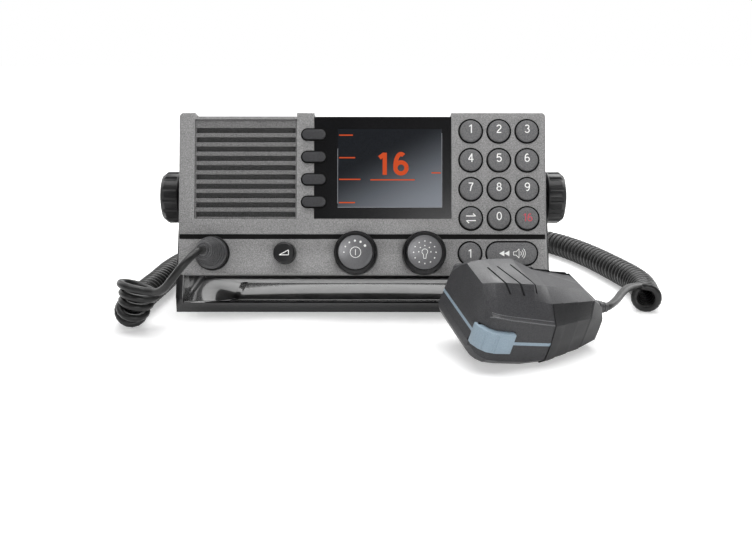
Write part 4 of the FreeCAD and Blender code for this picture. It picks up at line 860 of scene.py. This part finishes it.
def make_cord():
    """The whole cord as one line: tail, turns and tail, joined where each runs on into the next."""
    turns = helix(smooth_line("coil_axis", COIL))
    into = turns[0] - turns[1]
    into /= np.linalg.norm(into)
    out = turns[-1] - turns[-2]
    out /= np.linalg.norm(out)
    front = smooth_line(
        "front_tail",
        [*PLUG_EXIT, *TAIL_FRONT, turns[0] + 9 * into, turns[0] + 0.1 * into],
    )
    back = smooth_line(
        "handset_tail",
        [turns[-1] + 0.1 * out, turns[-1] + 5 * out, *TAIL_HANDSET, *BOOT_EXIT],
    )
    path = np.concatenate([evenly(front, 60), turns, evenly(back, 60)]) * MM
    mesh = tubes("curly_cord", [path], WIRE / 2, sides=3)
    piece = finished("curly_cord", mesh, CORD_PU, None)
    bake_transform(piece)
    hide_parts("cord_tail_front", "cord_coil", "cord_tail_handset")


make_cord()
plug_rings()
talk_key_ribs()
case_beads()
boot_rings()


# ---------------------------------------------------------------- floor, light and camera


def white_ground():
    """A pale floor that keeps the object's soft shadow. Seen or mirrored, it also glows, and more so away
    from the object, where it leaves the lamps' light, so that it meets the white background."""
    material, tree = new_material("white_ground")
    path = add_node(tree, "ShaderNodeLightPath")
    mirrored = add_node(
        tree,
        "ShaderNodeMath",
        {0: path.outputs["Is Glossy Ray"], 1: path.outputs["Is Transmission Ray"]},
        operation="MAXIMUM",
    )
    seen = add_node(
        tree,
        "ShaderNodeMath",
        {0: path.outputs["Is Camera Ray"], 1: mirrored.outputs[0]},
        operation="MAXIMUM",
    )
    matt = add_node(tree, "ShaderNodeBsdfDiffuse", {"Color": linear("#e6e6e6")})
    place = add_node(tree, "ShaderNodeTexCoord").outputs["Object"]
    distance = add_node(tree, "ShaderNodeVectorMath", {0: place}, operation="LENGTH")
    strength = add_node(
        tree,
        "ShaderNodeMapRange",
        {
            "Value": distance.outputs["Value"],
            "From Min": 0.3,
            "From Max": 1.3,
            "To Min": 0.4,
            "To Max": 1.1,
        },
    )
    lift = add_node(tree, "ShaderNodeEmission", {"Color": linear("#ffffff"), "Strength": strength.outputs[0]})
    none = add_node(tree, "ShaderNodeEmission", {"Color": linear("#000000"), "Strength": 0.0})
    glow = add_node(
        tree,
        "ShaderNodeMixShader",
        {0: seen.outputs[0], 1: none.outputs[0], 2: lift.outputs[0]},
    )
    both = add_node(tree, "ShaderNodeAddShader", {0: matt.outputs[0], 1: glow.outputs[0]})
    surface_output(tree, both)
    return material


ground_mesh = bpy.data.meshes.new("ground")
ground_mesh.from_pydata([(-6, -4, 0), (6, -4, 0), (6, 8, 0), (-6, 8, 0)], [], [(0, 1, 2, 3)])
ground = bpy.data.objects.new("ground", ground_mesh)
bpy.context.scene.collection.objects.link(ground)
ground_mesh.materials.append(white_ground())

world = bpy.data.worlds.new("studio")
bpy.context.scene.world = world
world.use_nodes = True
world.node_tree.nodes.clear()
path = add_node(world.node_tree, "ShaderNodeLightPath")
way = add_node(world.node_tree, "ShaderNodeTexCoord").outputs["Generated"]
parts = add_node(world.node_tree, "ShaderNodeSeparateXYZ", {0: way})
mirrored = add_node(
    world.node_tree,
    "ShaderNodeMath",
    {0: path.outputs["Is Glossy Ray"], 1: path.outputs["Is Transmission Ray"]},
    operation="MAXIMUM",
)
# the backdrop stands behind the object and beside it, and the room on the camera's side is dim
behind = add_node(
    world.node_tree,
    "ShaderNodeMapRange",
    {"Value": parts.outputs["Y"], "From Min": -0.35, "From Max": 0.15},
    interpolation_type="SMOOTHSTEP",
)
backdrop = add_node(
    world.node_tree,
    "ShaderNodeMath",
    {0: mirrored.outputs[0], 1: behind.outputs[0]},
    operation="MULTIPLY",
)
straight = add_node(
    world.node_tree,
    "ShaderNodeMath",
    {0: path.outputs["Is Camera Ray"], 1: backdrop.outputs[0]},
    operation="MAXIMUM",
)
dim = add_node(world.node_tree, "ShaderNodeBackground", {"Color": linear("#ffffff"), "Strength": 0.12})
bright = add_node(world.node_tree, "ShaderNodeBackground", {"Color": linear("#ffffff"), "Strength": 1.0})
mixed = add_node(
    world.node_tree,
    "ShaderNodeMixShader",
    {0: straight.outputs[0], 1: dim.outputs[0], 2: bright.outputs[0]},
)
add_node(world.node_tree, "ShaderNodeOutputWorld", {"Surface": mixed.outputs[0]})


def softbox(name, place, target, size, power):
    """A rectangular studio lamp at a place, turned to a target, both in metres."""
    lamp = bpy.data.lights.new(name, "AREA")
    lamp.shape = "RECTANGLE"
    lamp.size, lamp.size_y = size
    lamp.energy = power
    holder = bpy.data.objects.new(name, lamp)
    bpy.context.scene.collection.objects.link(holder)
    holder.location = place
    holder.rotation_euler = (Vector(target) - Vector(place)).to_track_quat("-Z", "Y").to_euler()


softbox("overhead", (0.0, -0.15, 1.1), (0, 0, 0.06), (1.3, 0.7), 13)
softbox("back_top", (0.15, 0.8, 1.0), (0.05, -0.1, 0.05), (1.0, 0.5), 10.5)
softbox("front_left", (-0.9, -1.1, 0.85), (0, -0.05, 0.07), (0.7, 0.7), 2.3)
softbox("front_right", (0.37, -1.12, 0.32), (0.05, -0.05, 0.09), (0.62, 0.34), 3.6)
softbox("rim_left", (-0.9, 0.55, 0.5), (0, 0, 0.07), (0.4, 0.7), 1.4)
softbox("rim_right", (0.9, 0.55, 0.5), (0, 0, 0.07), (0.4, 0.7), 2.7)

SENSOR = 36.0  # millimetres
FOCAL_LENGTH, WIDTH = 910.65, 752  # pixels
LOOK_DOWN, LOOK_LEFT = 14.125, 0.223  # degrees

lens = bpy.data.cameras.new("camera")
lens.sensor_width = SENSOR
lens.lens = SENSOR * FOCAL_LENGTH / WIDTH
lens.clip_start = 0.01
camera = bpy.data.objects.new("camera", lens)
bpy.context.scene.collection.objects.link(camera)
camera.location = (0.011364, -0.638769, 0.174719)
camera.rotation_euler = (math.radians(90 - LOOK_DOWN), 0.0, math.radians(LOOK_LEFT))
bpy.context.scene.camera = camera
bpy.context.scene.view_settings.view_transform = "Standard"
